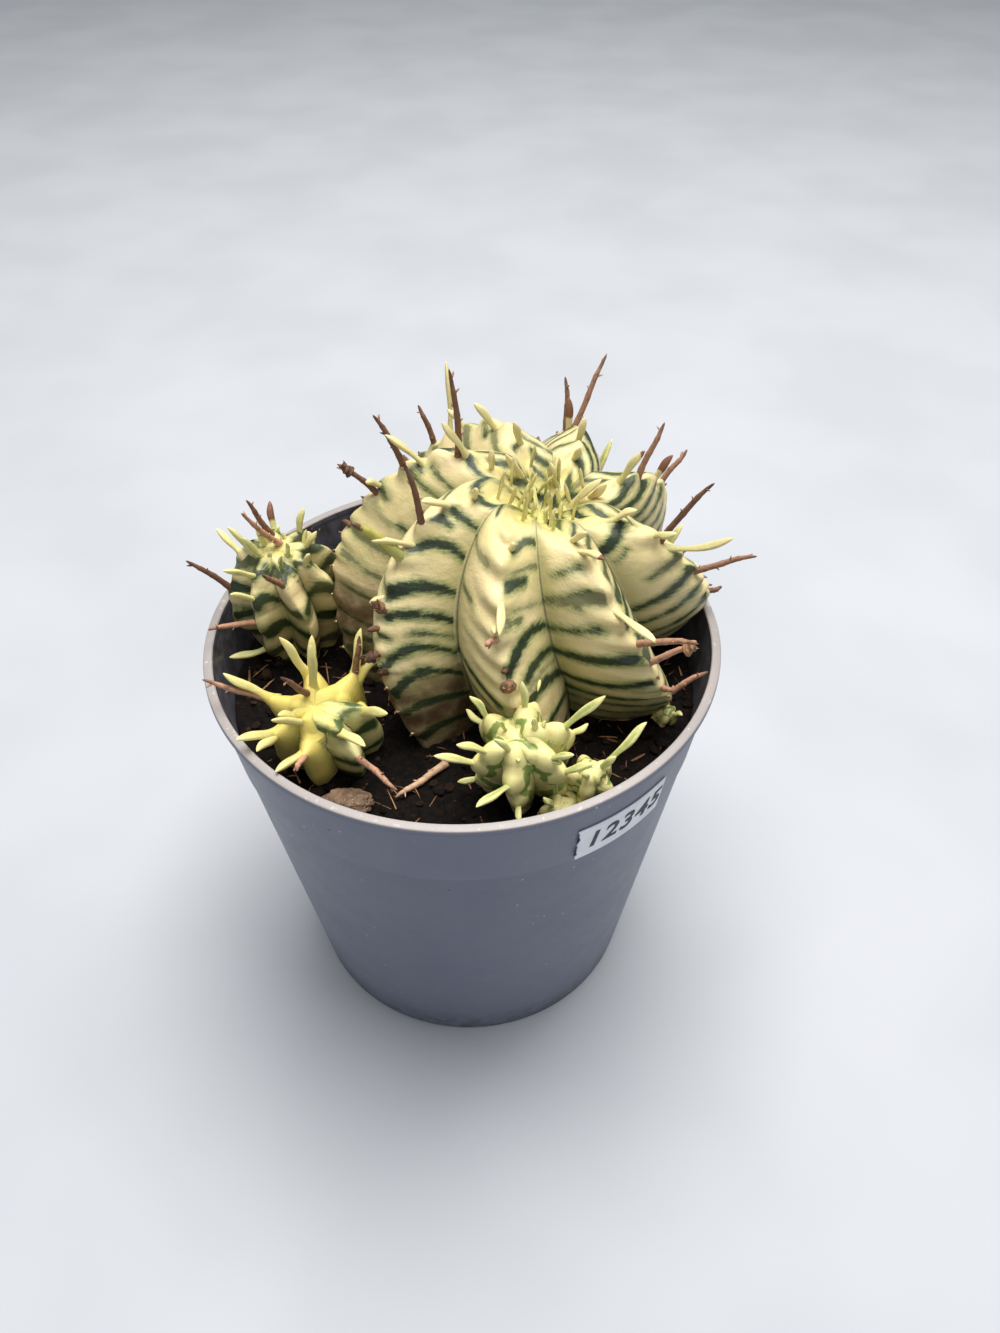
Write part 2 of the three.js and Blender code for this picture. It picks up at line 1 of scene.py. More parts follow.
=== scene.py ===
# A variegated melon spurge with its offsets, growing in soil in a plastic nursery pot.
# Sizes and places are named in millimetres and become metres when a mesh takes its place.
# Angles are in degrees. Z is up from the pot's underside, and the viewer is on the -Y side.

import math

import bpy
import numpy as np
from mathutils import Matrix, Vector, noise


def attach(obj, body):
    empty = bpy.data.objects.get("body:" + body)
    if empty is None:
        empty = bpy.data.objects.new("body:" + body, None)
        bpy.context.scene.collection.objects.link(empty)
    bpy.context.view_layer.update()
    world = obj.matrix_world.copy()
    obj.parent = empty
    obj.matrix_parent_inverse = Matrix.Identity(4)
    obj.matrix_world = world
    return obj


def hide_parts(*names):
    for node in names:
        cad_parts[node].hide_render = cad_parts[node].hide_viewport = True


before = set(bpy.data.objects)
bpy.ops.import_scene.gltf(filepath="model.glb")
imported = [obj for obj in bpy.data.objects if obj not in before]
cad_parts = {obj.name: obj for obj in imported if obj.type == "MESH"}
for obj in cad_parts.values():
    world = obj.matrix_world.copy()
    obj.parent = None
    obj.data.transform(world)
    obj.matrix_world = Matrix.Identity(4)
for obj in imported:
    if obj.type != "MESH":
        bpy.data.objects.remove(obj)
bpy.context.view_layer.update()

MILLIMETRE = 0.001

# The viewer's place, the camera's angles and its focal length, worked out from the pot's rim and base
CAMERA_PLACE = (0, -131.09, 192.24)
CAMERA_DOWN = 43.68
CAMERA_RIGHT = 2.68
CAMERA_LENS = 28.36
CAMERA_SENSOR = 36

# The pot
POT_HEIGHT = 76.3
POT_FLOOR = 3.8
RIM_RADIUS = 42.5
RIM_WIDTH = 1.5
RIM_THICKNESS = 1.1
WALL = 1.0
BASE_RADIUS = 31.7
STEP_RADIUS = 39.8
STEP_HEIGHT = 61
UPPER_WALL_RADIUS = 40.1
UPPER_WALL_START = STEP_HEIGHT + 0.6
UPPER_WALL_FLARE = 1.7
INNER_WALL_TOP_RADIUS = 40.8
INNER_WALL_TOP = POT_HEIGHT - 1.6
DRAIN_HOLES = 6
DRAIN_HOLE_RADIUS = 2.5
DRAIN_CIRCLE_RADIUS = 16.5
POT_SIDES = 180

# How far out a head may lean at the rim, and how fast that grows above the rim and shrinks below
# PRESS_HEIGHT
PRESS_REACH = 40.2
PRESS_HEIGHT = 74
PRESS_SLOPE_ABOVE = 1.6
PRESS_SLOPE_BELOW = 0.14

# The soil, the label and the loose pieces
SOIL_LEVEL = 65.4
SOIL_GAP = 0.35
SOIL_CELLS = 230
CRUMBS = 620
FIBRES = 260
LABEL_START = 292.3
LABEL_END = 317
LABEL_BOTTOM = 61.6
LABEL_TOP = 69.6
LABEL_GAP = 0.08
LABEL_THICKNESS = 0.16
DIGITS_GAP = 0.28
CLOD_PLACE = (-18.2, -28.9, 67.1)
CLOD_HALF_SIZE = (4, 2.3, 1.5)
CLOD_TURN_IN_RADIANS = -0.1
FALLEN_STALK_PLACE = (-4.6, -21.6, 66.2)
FALLEN_STALK_HEADING = (-0.92, -0.39, 0)
FALLEN_STALK_LENGTH = 9

# The leaves and the dry flower stalks
LEAF_HALF_WIDTH = 0.7
LEAF_HALF_THICKNESS = 0.5
STALK_RADIUS = 0.55
STOUT_STALK_RADIUS = 0.85
BRACT_SPACING = 2.4
ROOT_DEPTH = 1.3

# Each head is a ribbed dome on a tapering foot. The polar angle runs from 0 at the growing tip to
# 90 at the widest place and on to "foot" at the buried end. Ribs count anticlockwise from rib 0 at
# the azimuth "start". Along each crest sit raised knobs: "first_knob" is the first one's polar
# angle and "knob_step" the angle between two, widened about "knob_middle". The ribs in "banded"
# have green bands "band_step" apart, with about "band_half" of that as half their width, and the
# others are plain. A leaf's base is wider by "flare", which dies away over "flare_reach". Under it
# the skin swells by "swell" within "swell_radius", as a rounded lump or, where "pointed", as a
# cone. Where the skin swells, it has no raised knobs.
MAIN_HEAD = dict(
    centre=(10.4, 6.8, 79.8), lean=(0.14, -0.11),
    radius=31.5, height=26.6, depth=39, roundness=1.2, foot=142,
    dimple_depth=10.8, dimple_radius=10.4, twist=-40, foot_twist=0.65, start=269, ribs=8,
    valley=0.34, skew=-7,
    first_knob=6, knob_step=6.5, knob_spread=4.5, knob_middle=34, knob_sigma=14,
    knob_height=0.6, knob_extra=1.1, extra_middle=38, extra_sigma=22,
    banded=range(8), band_step=3.75, band_half=0.16, flare=0.5, flare_reach=2.3, swell=0,
)
OFFSET = dict(
    roundness=1, foot=145, twist=0, foot_twist=0, skew=0, knob_spread=0, knob_middle=50, knob_sigma=30,
    extra_middle=60, extra_sigma=30, banded=(), pointed=False,
)
LEFT_OFFSET = dict(
    OFFSET, centre=(-29.6, 9.8, 77.5), lean=(-0.05, -0.1), radius=8.9, height=9.2, depth=18,
    dimple_depth=1.2, dimple_radius=3, twist=-20, start=250, ribs=8, valley=0.32,
    first_knob=14, knob_step=20, knob_spread=6, knob_height=0.8, knob_extra=0.5,
    banded=range(8), band_step=5.4, band_half=0.15, flare=0.6, flare_reach=2.4,
    swell=1.6, swell_radius=3.3,
)
YELLOW_OFFSET = dict(
    OFFSET, centre=(-21.8, -17.3, 70.5), lean=(-0.1, -0.3), radius=8.6, height=8.4, depth=12,
    dimple_depth=0.5, dimple_radius=3, start=257, ribs=7, valley=0.36,
    first_knob=16, knob_step=26, knob_spread=6, knob_height=1.2, knob_extra=1,
    banded=(1, 2), band_step=5, band_half=0.14, flare=0.9, flare_reach=3.4,
    swell=2.8, swell_radius=5.2, pointed=True,
)
FRONT_OFFSET = dict(
    OFFSET, centre=(8.3, -27.4, 75), lean=(-0.1, -0.38), radius=6.5, height=6, depth=14,
    dimple_depth=0.3, dimple_radius=2, start=258, ribs=6, valley=0.28,
    first_knob=24, knob_step=34, knob_height=0.8, knob_extra=0.6,
    flare=0.35, flare_reach=2, swell=1.9, swell_radius=2.7,
)
SMALL_OFFSET = dict(
    OFFSET, lean=(0, -0.3), radius=3.1, height=4, depth=9,
    dimple_depth=0.2, dimple_radius=2, start=250, ribs=5, valley=0.25,
    first_knob=24, knob_step=36, knob_height=0.5, knob_extra=0.3,
    flare=0.3, flare_reach=1.6, swell=1, swell_radius=1.9,
)
FRONT_RIGHT_OFFSET = dict(SMALL_OFFSET, centre=(18.2, -30.2, 71.5))
LOWER_FRONT_OFFSET = dict(SMALL_OFFSET, centre=(13.6, -33, 67.4), radius=2.5, height=2.8, depth=6)
RIGHT_BUD = dict(
    SMALL_OFFSET, centre=(32.6, -13.2, 67), lean=(0.2, -0.3), radius=1.7, height=2.6, depth=6,
    swell=0.4, swell_radius=1.2,
)
BACK_OFFSET = dict(
    SMALL_OFFSET, centre=(23, 30, 76), lean=(0.1, 0.1), radius=4.4, height=5, depth=15,
)
RIGHT_OFFSET = dict(
    SMALL_OFFSET, centre=(33.4, 14.6, 73.5), lean=(0.2, 0), radius=3.4, height=4, depth=12,
)

# What grows on a head: rib, knob along that rib (a half is between two), kind, length, lean
# and turn. The lean is the angle up from the surface's normal towards the growing tip, and
# the turn is the angle towards the next rib. A last number bows the piece by that much.
MAIN_GROWTH = [
    [0, 3.5, 'leaf', 2, -5, 45], [0, 4.5, 'leaf', 8.5, -72, 5], [0, 5.5, 'leaf', 3.5, -30, -10],
    [0, 6, 'stub', 3.5, -10, -35], [0, 8, 'flower', 2.5, 35, 5],
    [1, 2, 'leaf', 4, -60, 15], [1, 2.5, 'leaf', 9, -65, -5], [1, 4.5, 'leaf', 9.5, -40, -5],
    [1, 6, 'stalk', 11, 0, 15], [1, 7.5, 'flower', 9, 25, 30], [1, 9, 'stub', 2, 15, 0],
    [1, 11.5, 'stalk', 9.5, 72, 42],
    [2, 2.5, 'leaf', 6.5, -60, -10], [2, 4, 'leaf', 4.5, -15, -35], [2, 4.5, 'leaf', 12, -15, -15, -1.6],
    [2, 4.5, 'stalk', 13.5, 15, 10], [2, 6.5, 'stalk', 11, 10, -5], [2, 9, 'stub', 2, 10, 10],
    [3, 0, 'leaf', 8, -60, -10], [3, 1, 'leaf', 5.5, -50, -35], [3, 2.5, 'leaf', 7.5, -20, -15],
    [3, 3.5, 'stalk', 10.5, 15, 5], [3, 4.5, 'leaf', 5.5, 20, 5], [3, 5.5, 'stalk', 8, 25, 5],
    [3, 9, 'stub', 2.5, 20, 0],
    [4, 1, 'leaf', 5, -15, 20], [4, 2.5, 'leaf', 3.5, 0, -20], [4, 3.5, 'leaf', 4.5, 10, 0],
    [4, 5.5, 'leaf', 6.5, 30, 25], [4, 5.5, 'stalk', 15, 30, 0], [4, 6, 'stalk', 9.5, 30, 25],
    [4, 9, 'stub', 2, 15, 10],
    [5, 0.5, 'leaf', 8, -35, 40], [5, 2, 'leaf', 5, -20, 25], [5, 3.5, 'leaf', 6.5, -5, 45],
    [5, 5, 'leaf', 4, 0, 45], [5, 6, 'leaf', 12, 30, 5], [5, 7, 'stalk', 7.5, 30, 30],
    [5, 9, 'stub', 2, 10, 0],
    [6, 2, 'leaf', 4, -40, 10], [6, 3, 'leaf', 7.5, -45, 15], [6, 3.5, 'stalk', 15, 0, 0],
    [6, 4.5, 'leaf', 8, -20, 15], [6, 5, 'stalk', 10, 10, 10], [6, 6, 'leaf', 3, -25, 40],
    [6, 6.5, 'flower', 7, 0, 10],
    [7, 2, 'leaf', 4, -45, 25], [7, 3, 'leaf', 6, -55, 10], [7, 4, 'stalk', 11, 25, -5],
    [7, 4.5, 'leaf', 7.5, -25, -5], [7, 5, 'stout', 10, 5, -10], [7, 6.5, 'leaf', 3, -50, -25],
    [7, 8, 'stub', 2, 0, 0],
    [7, 9.3, 'flower', 2.6, 0, -10], [7, 7, 'flower', 0.8, 20, 10], [7, 10.3, 'flower', 0.4, -10, 0],
    [6, 8.5, 'stub', 1.5, 10, 0], [0, 7.2, 'stub', 0.8, -30, 0],
]
LEFT_GROWTH = [
    [5, 0, 'stalk', 10, 20, 20], [5, 1, 'leaf', 4.5, 15, -5], [6, 0, 'leaf', 4.5, -5, 15],
    [4, 1, 'leaf', 4.5, 20, -5], [7, 0, 'leaf', 7, -5, 0], [0, 1, 'leaf', 6, -10, -20],
    [7, 2, 'stalk', 10, 45, 0], [0, 2, 'leaf', 4.5, 30, -15], [0, 3, 'stalk', 9, 35, -35],
    [0, 0, 'leaf', 5.5, -25, -25], [1, 1, 'stalk', 7, 40, -25], [2, 1, 'leaf', 4, 10, -10],
    [3, 0, 'leaf', 4, -20, -15], [4, 0, 'stalk', 12, 25, 10], [6, 2, 'leaf', 5, 20, 0],
]
YELLOW_GROWTH = [
    [4, 1, 'leaf', 7, 25, 15], [4, 1, 'leaf', 5, 15, -20], [3, 1, 'leaf', 6, 20, 15],
    [4, 0, 'leaf', 7.5, -10, -15], [3, 1, 'leaf', 7, 0, -20], [5, 1, 'leaf', 7.5, 25, 10],
    [6, 0, 'leaf', 3.5, -25, 10], [0, 0, 'leaf', 6, -20, -30], [6, 1, 'leaf', 6, 0, 10],
    [0, 1, 'leaf', 5, -10, -20], [6, 1, 'leaf', 4, -5, 35], [1, 0, 'leaf', 6, -40, 10],
    [1, 1, 'stalk', 10, -15, 5], [2, 1, 'leaf', 6, 0, -30], [5, 1, 'stalk', 11, 15, 20],
    [0, 1, 'stalk', 5, -10, 5], [3, 1, 'stalk', 8, 40, 0], [4, 0, 'stalk', 10, 20, 15],
]
FRONT_GROWTH = [
    [4, 1, 'leaf', 4, 20, -5], [3, 0, 'leaf', 4.5, 15, 5], [2, 1, 'leaf', 8, 10, 0],
    [2, 0, 'leaf', 3, 25, 10], [5, 0, 'leaf', 5.5, 0, -10], [5, 1, 'leaf', 6.5, 30, -15],
    [0, 0, 'leaf', 4.5, 30, -35], [0, 1, 'leaf', 6.5, 5, -35], [1, 0, 'leaf', 4.5, 0, 20],
    [1, 1, 'leaf', 5.5, 40, 30],
    [3, 1, 'leaf', 3, 20, -15], [1, 2, 'leaf', 2, 20, 10], [0, 2, 'leaf', 2.5, 10, 20],
    [5, 2, 'leaf', 3, 0, -20], [2, 2, 'leaf', 2.5, 10, 10], [4, 2, 'leaf', 3, 10, 0],
]
FRONT_RIGHT_GROWTH = [
    [2, 1, 'leaf', 8, 15, 0], [2, 0, 'leaf', 4, 10, -20], [0, 0, 'leaf', 2.5, 10, -20],
]
LOWER_FRONT_GROWTH = [[4, 0, 'leaf', 3.5, 0, 0], [3, 0, 'leaf', 3, 0, 0], [1, 0, 'leaf', 2, 20, 0]]
RIGHT_BUD_GROWTH = [[1, 0, 'leaf', 1.3, 30, 0], [3, 0, 'leaf', 1.3, 20, 0]]
BACK_GROWTH = [
    [0, 0, 'leaf', 9, 5, 0], [1, 0, 'leaf', 8, 5, 0], [2, 0, 'leaf', 10, 5, 5], [3, 0, 'leaf', 7, 5, 0],
    [4, 0, 'leaf', 8, 10, 0],
]
RIGHT_GROWTH = [[0, 0, 'leaf', 6, 5, 0], [1, 0, 'leaf', 6, 0, 0], [2, 0, 'leaf', 7, 5, 0]]
CURLED_LEAF = [0, 4, 'leaf', 6.5, 10, -60, -1.2]

# From where along it a leaf is dry, and how pink a stalk is, by head, rib and knob
DRY_FROM = {
    "main_head": {(4, 5.5): 0.55, (3, 2.5): 0.9, (1, 2.5): 0.88, (1, 4.5): 0.93, (3, 4.5): 0.5},
    "left_offset": {(5, 1): 0.5},
}
TONES = {
    "main_head": {
        (7, 9.3): 0.0, (7, 7): 0.5, (0, 6): 1.0, (0, 8): 0.75, (1, 6): 0.7, (1, 7.5): 0.9, (1, 9): 0.8,
        (1, 11.5): 1.0, (2, 6.5): 0.45, (3, 3.5): 0.7, (3, 5.5): 0.6, (4, 5.5): 0.6, (4, 6): 0.4,
    },
    "left_offset": {(4, 0): 0.9, (0, 3): 0.8, (7, 2): 0.0},
    "yellow_offset": {(1, 1): 0.9, (0, 1): 1.0, (5, 1): 0.8},
}


# Small helpers

def draws(seed):
    """A repeatable random draw between 0 and 1."""
    state = seed
    while True:
        state = (state * 16807) % 2147483647
        yield state / 2147483647


def bell(value, middle, sigma):
    return np.exp(-(((value - middle) / sigma) ** 2))


def unit(vector):
    return vector / np.linalg.norm(vector)


def smooth_step(value, low, high):
    share = np.clip((value - low) / (high - low), 0, 1)
    return share * share * (3 - 2 * share)


def deselect():
    if bpy.context.object is not None and bpy.context.object.mode != "OBJECT":
        bpy.ops.object.mode_set(mode="OBJECT")
    bpy.ops.object.select_all(action="DESELECT")


def select_only(piece):
    deselect()
    piece.select_set(True)
    bpy.context.view_layer.objects.active = piece


def read_places(piece):
    places = np.zeros(len(piece.data.vertices) * 3)
    piece.data.vertices.foreach_get("co", places)
    return places.reshape(-1, 3)


def write_places(piece, places):
    """Moves the vertices to places given in millimetres."""
    piece.data.vertices.foreach_set("co", (np.asarray(places, float) * MILLIMETRE).ravel())
    piece.data.update()


def write_values(piece, name, values):
    """Keeps one number for each vertex, which the materials read by its name."""
    attribute = piece.data.attributes.new(name, "FLOAT", "POINT")
    numbers = np.broadcast_to(values, len(piece.data.vertices)).astype(np.float32)
    attribute.data.foreach_set("value", numbers)


def shade_smooth(piece):
    piece.data.polygons.foreach_set("use_smooth", [True] * len(piece.data.polygons))
    piece.data.update()


def dress(piece, finish):
    piece.data.materials.clear()
    piece.data.materials.append(finish)
    return piece


def just_made(name):
    """The piece that the last operator made, under a name of its own."""
    piece = bpy.context.object
    piece.name = name
    return piece


def joined(name, copies, finish=None):
    """Several copies, each with a mesh of its own, become one piece."""
    deselect()
    for copy in copies:
        copy.select_set(True)
    bpy.context.view_layer.objects.active = copies[0]
    bpy.ops.object.join()
    whole = just_made(name)
    whole.data.name = name
    return dress(whole, finish) if finish else whole


def copy_of(prototype):
    copy = prototype.copy()
    copy.data = prototype.data.copy()
    bpy.context.scene.collection.objects.link(copy)
    copy.hide_render = False
    return copy


def extruded(rise, share, height):
    """What is selected grows up by the rise and is drawn in or out to that share."""
    bpy.ops.mesh.extrude_region_move(TRANSFORM_OT_translate={"value": (0, 0, rise)})
    bpy.ops.transform.resize(value=(share, share, 1), center_override=(0, 0, height))


def end_editing():
    bpy.ops.mesh.select_all(action="SELECT")
    bpy.ops.mesh.normals_make_consistent(inside=False)
    bpy.ops.object.mode_set(mode="OBJECT")


def turned(name, profile, sides, scale=1):
    """A closed piece turned about the Z axis: a disc is extruded and resized from point to point."""
    profile = [(radius * scale, height * scale) for radius, height in profile]
    deselect()
    bpy.ops.mesh.primitive_circle_add(
        vertices=sides, radius=profile[0][0], fill_type="NGON", location=(0, 0, profile[0][1]),
    )
    piece = just_made(name)
    bpy.ops.object.transform_apply(location=True)
    bpy.ops.object.mode_set(mode="EDIT")
    bpy.ops.mesh.select_all(action="SELECT")
    for (wide, high), (before, low) in zip(profile[1:], profile):
        extruded(high - low, wide / before, high)
    end_editing()
    return piece


# Finishes: each is a node material, built step by step

class Finish:
    def __init__(self, name, roughness, colour, **values):
        self.material = bpy.data.materials.new(name)
        self.material.use_nodes = True
        self.tree = self.material.node_tree
        self.shader = self.tree.nodes["Principled BSDF"]
        self.shader.inputs["Roughness"].default_value = roughness
        for socket, value in values.items():
            self.shader.inputs[socket.replace("_", " ")].default_value = value
        self.place = self.node("ShaderNodeTexCoord").outputs["Object"]
        self.ground = colour

    def node(self, kind, inputs=(), **settings):
        node = self.tree.nodes.new(kind)
        for name, value in settings.items():
            setattr(node, name, value)
        for socket, value in dict(inputs).items():
            self.plug(node.inputs[socket], value)
        return node

    def plug(self, socket, value):
        if isinstance(value, bpy.types.NodeSocket):
            self.tree.links.new(value, socket)
        else:
            socket.default_value = value

    def value(self, name):
        return self.node("ShaderNodeAttribute", attribute_name=name).outputs["Fac"]

    def coordinate(self, axis):
        return self.node("ShaderNodeSeparateXYZ", {0: self.place}).outputs[axis]

    def noise(self, size, detail=2, roughness=0.5, warp=0):
        """Cloudy noise whose blotches are about that many millimetres across."""
        inputs = {"Vector": self.place, "Scale": 1 / (size * MILLIMETRE), "Detail": detail}
        inputs.update({"Roughness": roughness, "Distortion": warp})
        return self.node("ShaderNodeTexNoise", inputs).outputs["Fac"]

    def streaks(self, size, length):
        """Noise drawn out across a rib, the way its bands run, and different from rib to rib."""
        inputs = {
            0: self.times(self.value("sideways"), 1 / length),
            1: self.times(self.value("down"), 1 / size),
            2: self.times(self.coordinate("X"), 90),
        }
        vector = self.node("ShaderNodeCombineXYZ", inputs).outputs[0]
        inputs = {"Vector": vector, "Scale": 1, "Detail": 3, "Roughness": 0.65}
        return self.node("ShaderNodeTexNoise", inputs).outputs["Fac"]

    def cells(self, size):
        inputs = {"Vector": self.place, "Scale": 1 / (size * MILLIMETRE)}
        return self.node("ShaderNodeTexVoronoi", inputs).outputs["Distance"]

    def reckon(self, operation, *values):
        return self.node("ShaderNodeMath", dict(enumerate(values)), operation=operation).outputs[0]

    def sum(self, first, second):
        return self.reckon("ADD", first, second)

    def times(self, first, second):
        return self.reckon("MULTIPLY", first, second)

    def spread(self, value, amount):
        """Noise between 0 and 1, turned to lie about 0 and widened."""
        return self.reckon("MULTIPLY_ADD", value, amount, -amount / 2)

    def step(self, value, low, high, start=0.0, end=1.0):
        inputs = {0: value, 1: low, 2: high, 3: start, 4: end}
        return self.node("ShaderNodeMapRange", inputs, interpolation_type="SMOOTHSTEP").outputs[0]

    def mix(self, share, first, second):
        inputs = {0: share, 6: first, 7: second}
        return self.node("ShaderNodeMix", inputs, data_type="RGBA").outputs[2]

    def lay(self, share, colour):
        """Another colour over those so far, as much of it as the share says."""
        self.ground = self.mix(share, self.ground, colour)
        self.plug(self.shader.inputs["Base Color"], self.ground)

    def bump(self, height, depth):
        """Relief that many millimetres deep where the height goes from 0 to 1."""
        previous = self.shader.inputs["Normal"].links
        inputs = {"Height": height, "Distance": depth * MILLIMETRE, "Strength": 1.0}
        if previous:
            inputs["Normal"] = previous[0].from_socket
        node = self.node("ShaderNodeBump", inputs)
        self.tree.links.new(node.outputs[0], self.shader.inputs["Normal"])

    def roughness(self, value):
        self.plug(self.shader.inputs["Roughness"], value)


def paint(*screen):
    """A colour as a screen shows it, from 0 to 255, turned to light."""
    return (*(((c / 255 + 0.055) / 1.055) ** 2.4 if c > 10 else c / 255 / 12.92 for c in screen), 1)


def skin_finish(name, cream, fresh_and_shade, dark_green, pale_green, tan, patches=0.0, relief=0.25):
    """Waxy skin: cream ground, dark green bands with grainy edges, tan and rough low down. The greener tone
    round the growing tip and the tan low down are partly painted shade.
    """
    glow = dict(Subsurface_Weight=0.1, Subsurface_Scale=0.001, Subsurface_Radius=(1.0, 0.7, 0.35))
    skin = Finish(name, 0.5, cream, **glow)
    names = ("across", "crease", "bold", "low", "fresh_and_shade")
    across, crease, bold, low, fresh_and_shade_share = (skin.value(word) for word in names)
    middle_green = skin.mix(0.4, dark_green, pale_green)
    # A greener tone in patches, and over the growing tip and the plain ribs; round the tip it is partly
    # painted shade that darkens the upward-facing top
    skin.lay(skin.step(skin.noise(6, 3), 0.35, 0.7, 0.0, 0.35), fresh_and_shade)
    skin.lay(fresh_and_shade_share, fresh_and_shade)
    # Pale green streaks, and pale green towards the valleys that is partly painted shade in the creases
    mottle = skin.step(skin.streaks(1.3, 5), 0.52, 0.78, 0.0, 0.3)
    shade = skin.step(across, 0.6, 1.0, 0.0, 0.3)
    skin.lay(skin.reckon("MAXIMUM", mottle, shade), pale_green)
    # Tan low down, partly painted shade
    skin.lay(skin.times(low, skin.step(skin.noise(3, 3), 0.2, 0.65, 0.6, 1.0)), tan)

    # The bands: a pale halo round a dark core, with ragged, brushed and grainy edges
    rag = skin.spread(skin.noise(2.2, 3, 0.6), 1.3)
    brush = skin.spread(skin.streaks(0.45, 2.4), 1.5)
    grain = skin.spread(skin.noise(0.2, 2, 0.7), 0.6)
    edge = skin.sum(skin.sum(skin.value("band"), rag), skin.sum(brush, grain))
    halo = skin.times(skin.step(edge, -1.3, 0.2, 0.0, 0.85), skin.step(low, 0.0, 1.0, 1.0, 0.3))
    skin.lay(skin.times(halo, bold), pale_green)
    lighter = skin.step(skin.streaks(0.3, 1.6), 0.5, 0.75, 0.0, 0.45)
    core_colour = skin.mix(lighter, dark_green, middle_green)
    skin.lay(skin.times(skin.step(edge, -0.25, 0.45), bold), core_colour)

    # Green patches by the creases, a dark line in the valleys, brown specks low down and green dots
    border = skin.times(skin.step(crease, 0.55, 0.9), skin.step(crease, 0.94, 1.0, 1.0, 0.4))
    valley = skin.sum(skin.times(border, 0.5), skin.noise(3.6, 3, 0.6, 0.5))
    skin.lay(skin.times(skin.step(valley, 0.84, 0.97), skin.times(fresh_and_shade_share, patches)), middle_green)
    skin.lay(skin.step(across, 0.955, 0.995, 0.0, 0.6), dark_green)
    specks = skin.step(skin.noise(0.8, 2, 0.6), 0.7, 0.76, 0.0, 0.7)
    skin.lay(skin.times(specks, low), paint(104, 70, 44))
    skin.lay(skin.step(skin.cells(1.7), 0.05, 0.03, 0.0, 0.35), middle_green)
    skin.roughness(skin.step(skin.noise(2.2, 3), 0.2, 0.8, 0.44, 0.6))
    skin.bump(skin.noise(0.3, 2, 0.6), 0.04)
    skin.bump(skin.noise(2.4, 3, 0.5), relief)
    return skin.material


def leaf_finish(name, cream, green, base, brown=paint(120, 78, 54)):
    """A fleshy leaf: pale margins, a green middle, and a base in the skin's own colour."""
    glow = dict(Subsurface_Weight=0.12, Subsurface_Scale=0.0008, Subsurface_Radius=(1.0, 0.8, 0.4))
    leaf = Finish(name, 0.5, cream, **glow)
    tint, along = leaf.value("tint"), leaf.value("along")
    streak = leaf.noise(1.3, 3, 0.6)
    leaf.lay(leaf.times(leaf.step(streak, 0.35, 0.75, 0.0, 0.6), tint), green)
    middle = leaf.times(leaf.step(leaf.value("rim"), 0.62, 0.2), leaf.step(along, 0.95, 0.7))
    leaf.lay(leaf.times(middle, tint), green)
    greener = leaf.times(tint, leaf.step(streak, 0.3, 0.6, 0.3, 0.8))
    leaf.lay(leaf.step(along, 0.42, 0.16), leaf.mix(greener, base, green))
    tip = leaf.sum(along, leaf.spread(leaf.noise(0.8, 3), 0.25))
    leaf.lay(leaf.step(leaf.reckon("SUBTRACT", tip, leaf.value("dry")), -0.03, 0.05), brown)
    leaf.bump(leaf.noise(0.35, 2), 0.04)
    leaf.bump(leaf.noise(1.5, 2), 0.1)
    return leaf.material


def stalk_finish(name, brown, pink, dark):
    stalk = Finish(name, 0.7, brown)
    stalk.lay(stalk.value("tint"), pink)
    stalk.lay(stalk.step(stalk.noise(0.9, 4, 0.65), 0.45, 0.75, 0.0, 0.65), dark)
    stalk.lay(stalk.step(stalk.value("along"), 0.8, 1.0, 0.0, 0.7), dark)
    stalk.bump(stalk.noise(0.4, 3, 0.7), 0.1)
    return stalk.material


def pot_finish():
    """Grey plastic with a paler, scuffed rim, soiled inside, low down and in specks."""
    pot = Finish("grey_plastic", 0.42, paint(101, 106, 124))
    height = pot.coordinate("Z")
    pot.lay(pot.step(pot.noise(26, 2), 0.3, 0.7), paint(107, 112, 129))
    wall_slope = 0.125
    wall_middle = 0.0318
    flat = pot.node("ShaderNodeVectorMath", {0: pot.place, 1: (1, 1, 0)}, operation="MULTIPLY").outputs[0]
    reach = pot.node("ShaderNodeVectorMath", {0: flat}, operation="LENGTH").outputs["Value"]
    upright = pot.sum(reach, pot.times(height, -wall_slope))
    step = STEP_HEIGHT * MILLIMETRE
    inward = pot.step(upright, wall_middle + 0.0003, wall_middle)
    inside = pot.times(inward, pot.step(height, step - 0.0005, step + 0.0005))
    dust = pot.step(pot.noise(2.6, 4, 0.7), 0.35, 0.65, 0.3, 0.85)
    pot.lay(pot.times(inside, dust), paint(66, 56, 50))
    marks = pot.times(pot.step(pot.cells(6), 0.06, 0.045), pot.step(pot.noise(8, 1), 0.5, 0.54))
    pot.lay(pot.times(marks, 0.9), paint(60, 48, 44))
    # A painted shadow: a thin dark band just under the rim's flange
    under = (POT_HEIGHT - RIM_THICKNESS) * MILLIMETRE
    shadow = pot.times(
        pot.step(height, under - 0.0006, under - 0.0001), pot.step(height, under + 0.0003, under),
    )
    pot.lay(pot.times(shadow, 0.7), paint(52, 52, 60))
    top = (POT_HEIGHT - 0.3) * MILLIMETRE
    scuffs = pot.step(pot.noise(0.9, 3, 0.7), 0.6, 0.72)
    rim = pot.mix(scuffs, paint(153, 146, 144), paint(188, 182, 178))
    pot.lay(pot.step(height, top, top + 0.0001), rim)
    specks = pot.times(pot.step(pot.cells(2.2), 0.1, 0.05), pot.step(pot.noise(5, 1), 0.54, 0.62, 0, 0.8))
    pot.lay(specks, paint(210, 208, 210))
    dirt = pot.times(pot.step(height, 0.009, 0.0), pot.step(pot.noise(2.2, 4, 0.7), 0.35, 0.65))
    pot.lay(pot.times(dirt, 0.75), paint(52, 45, 42))
    pot.lay(pot.step(pot.noise(0.7, 3, 0.8), 0.7, 0.78, 0, 0.6), paint(64, 58, 56))
    pot.roughness(pot.step(pot.noise(6, 4, 0.7), 0.25, 0.75, 0.4, 0.48))
    pot.bump(pot.noise(0.5, 2), 0.02)
    pot.bump(pot.noise(16, 1), 0.08)
    return pot.material


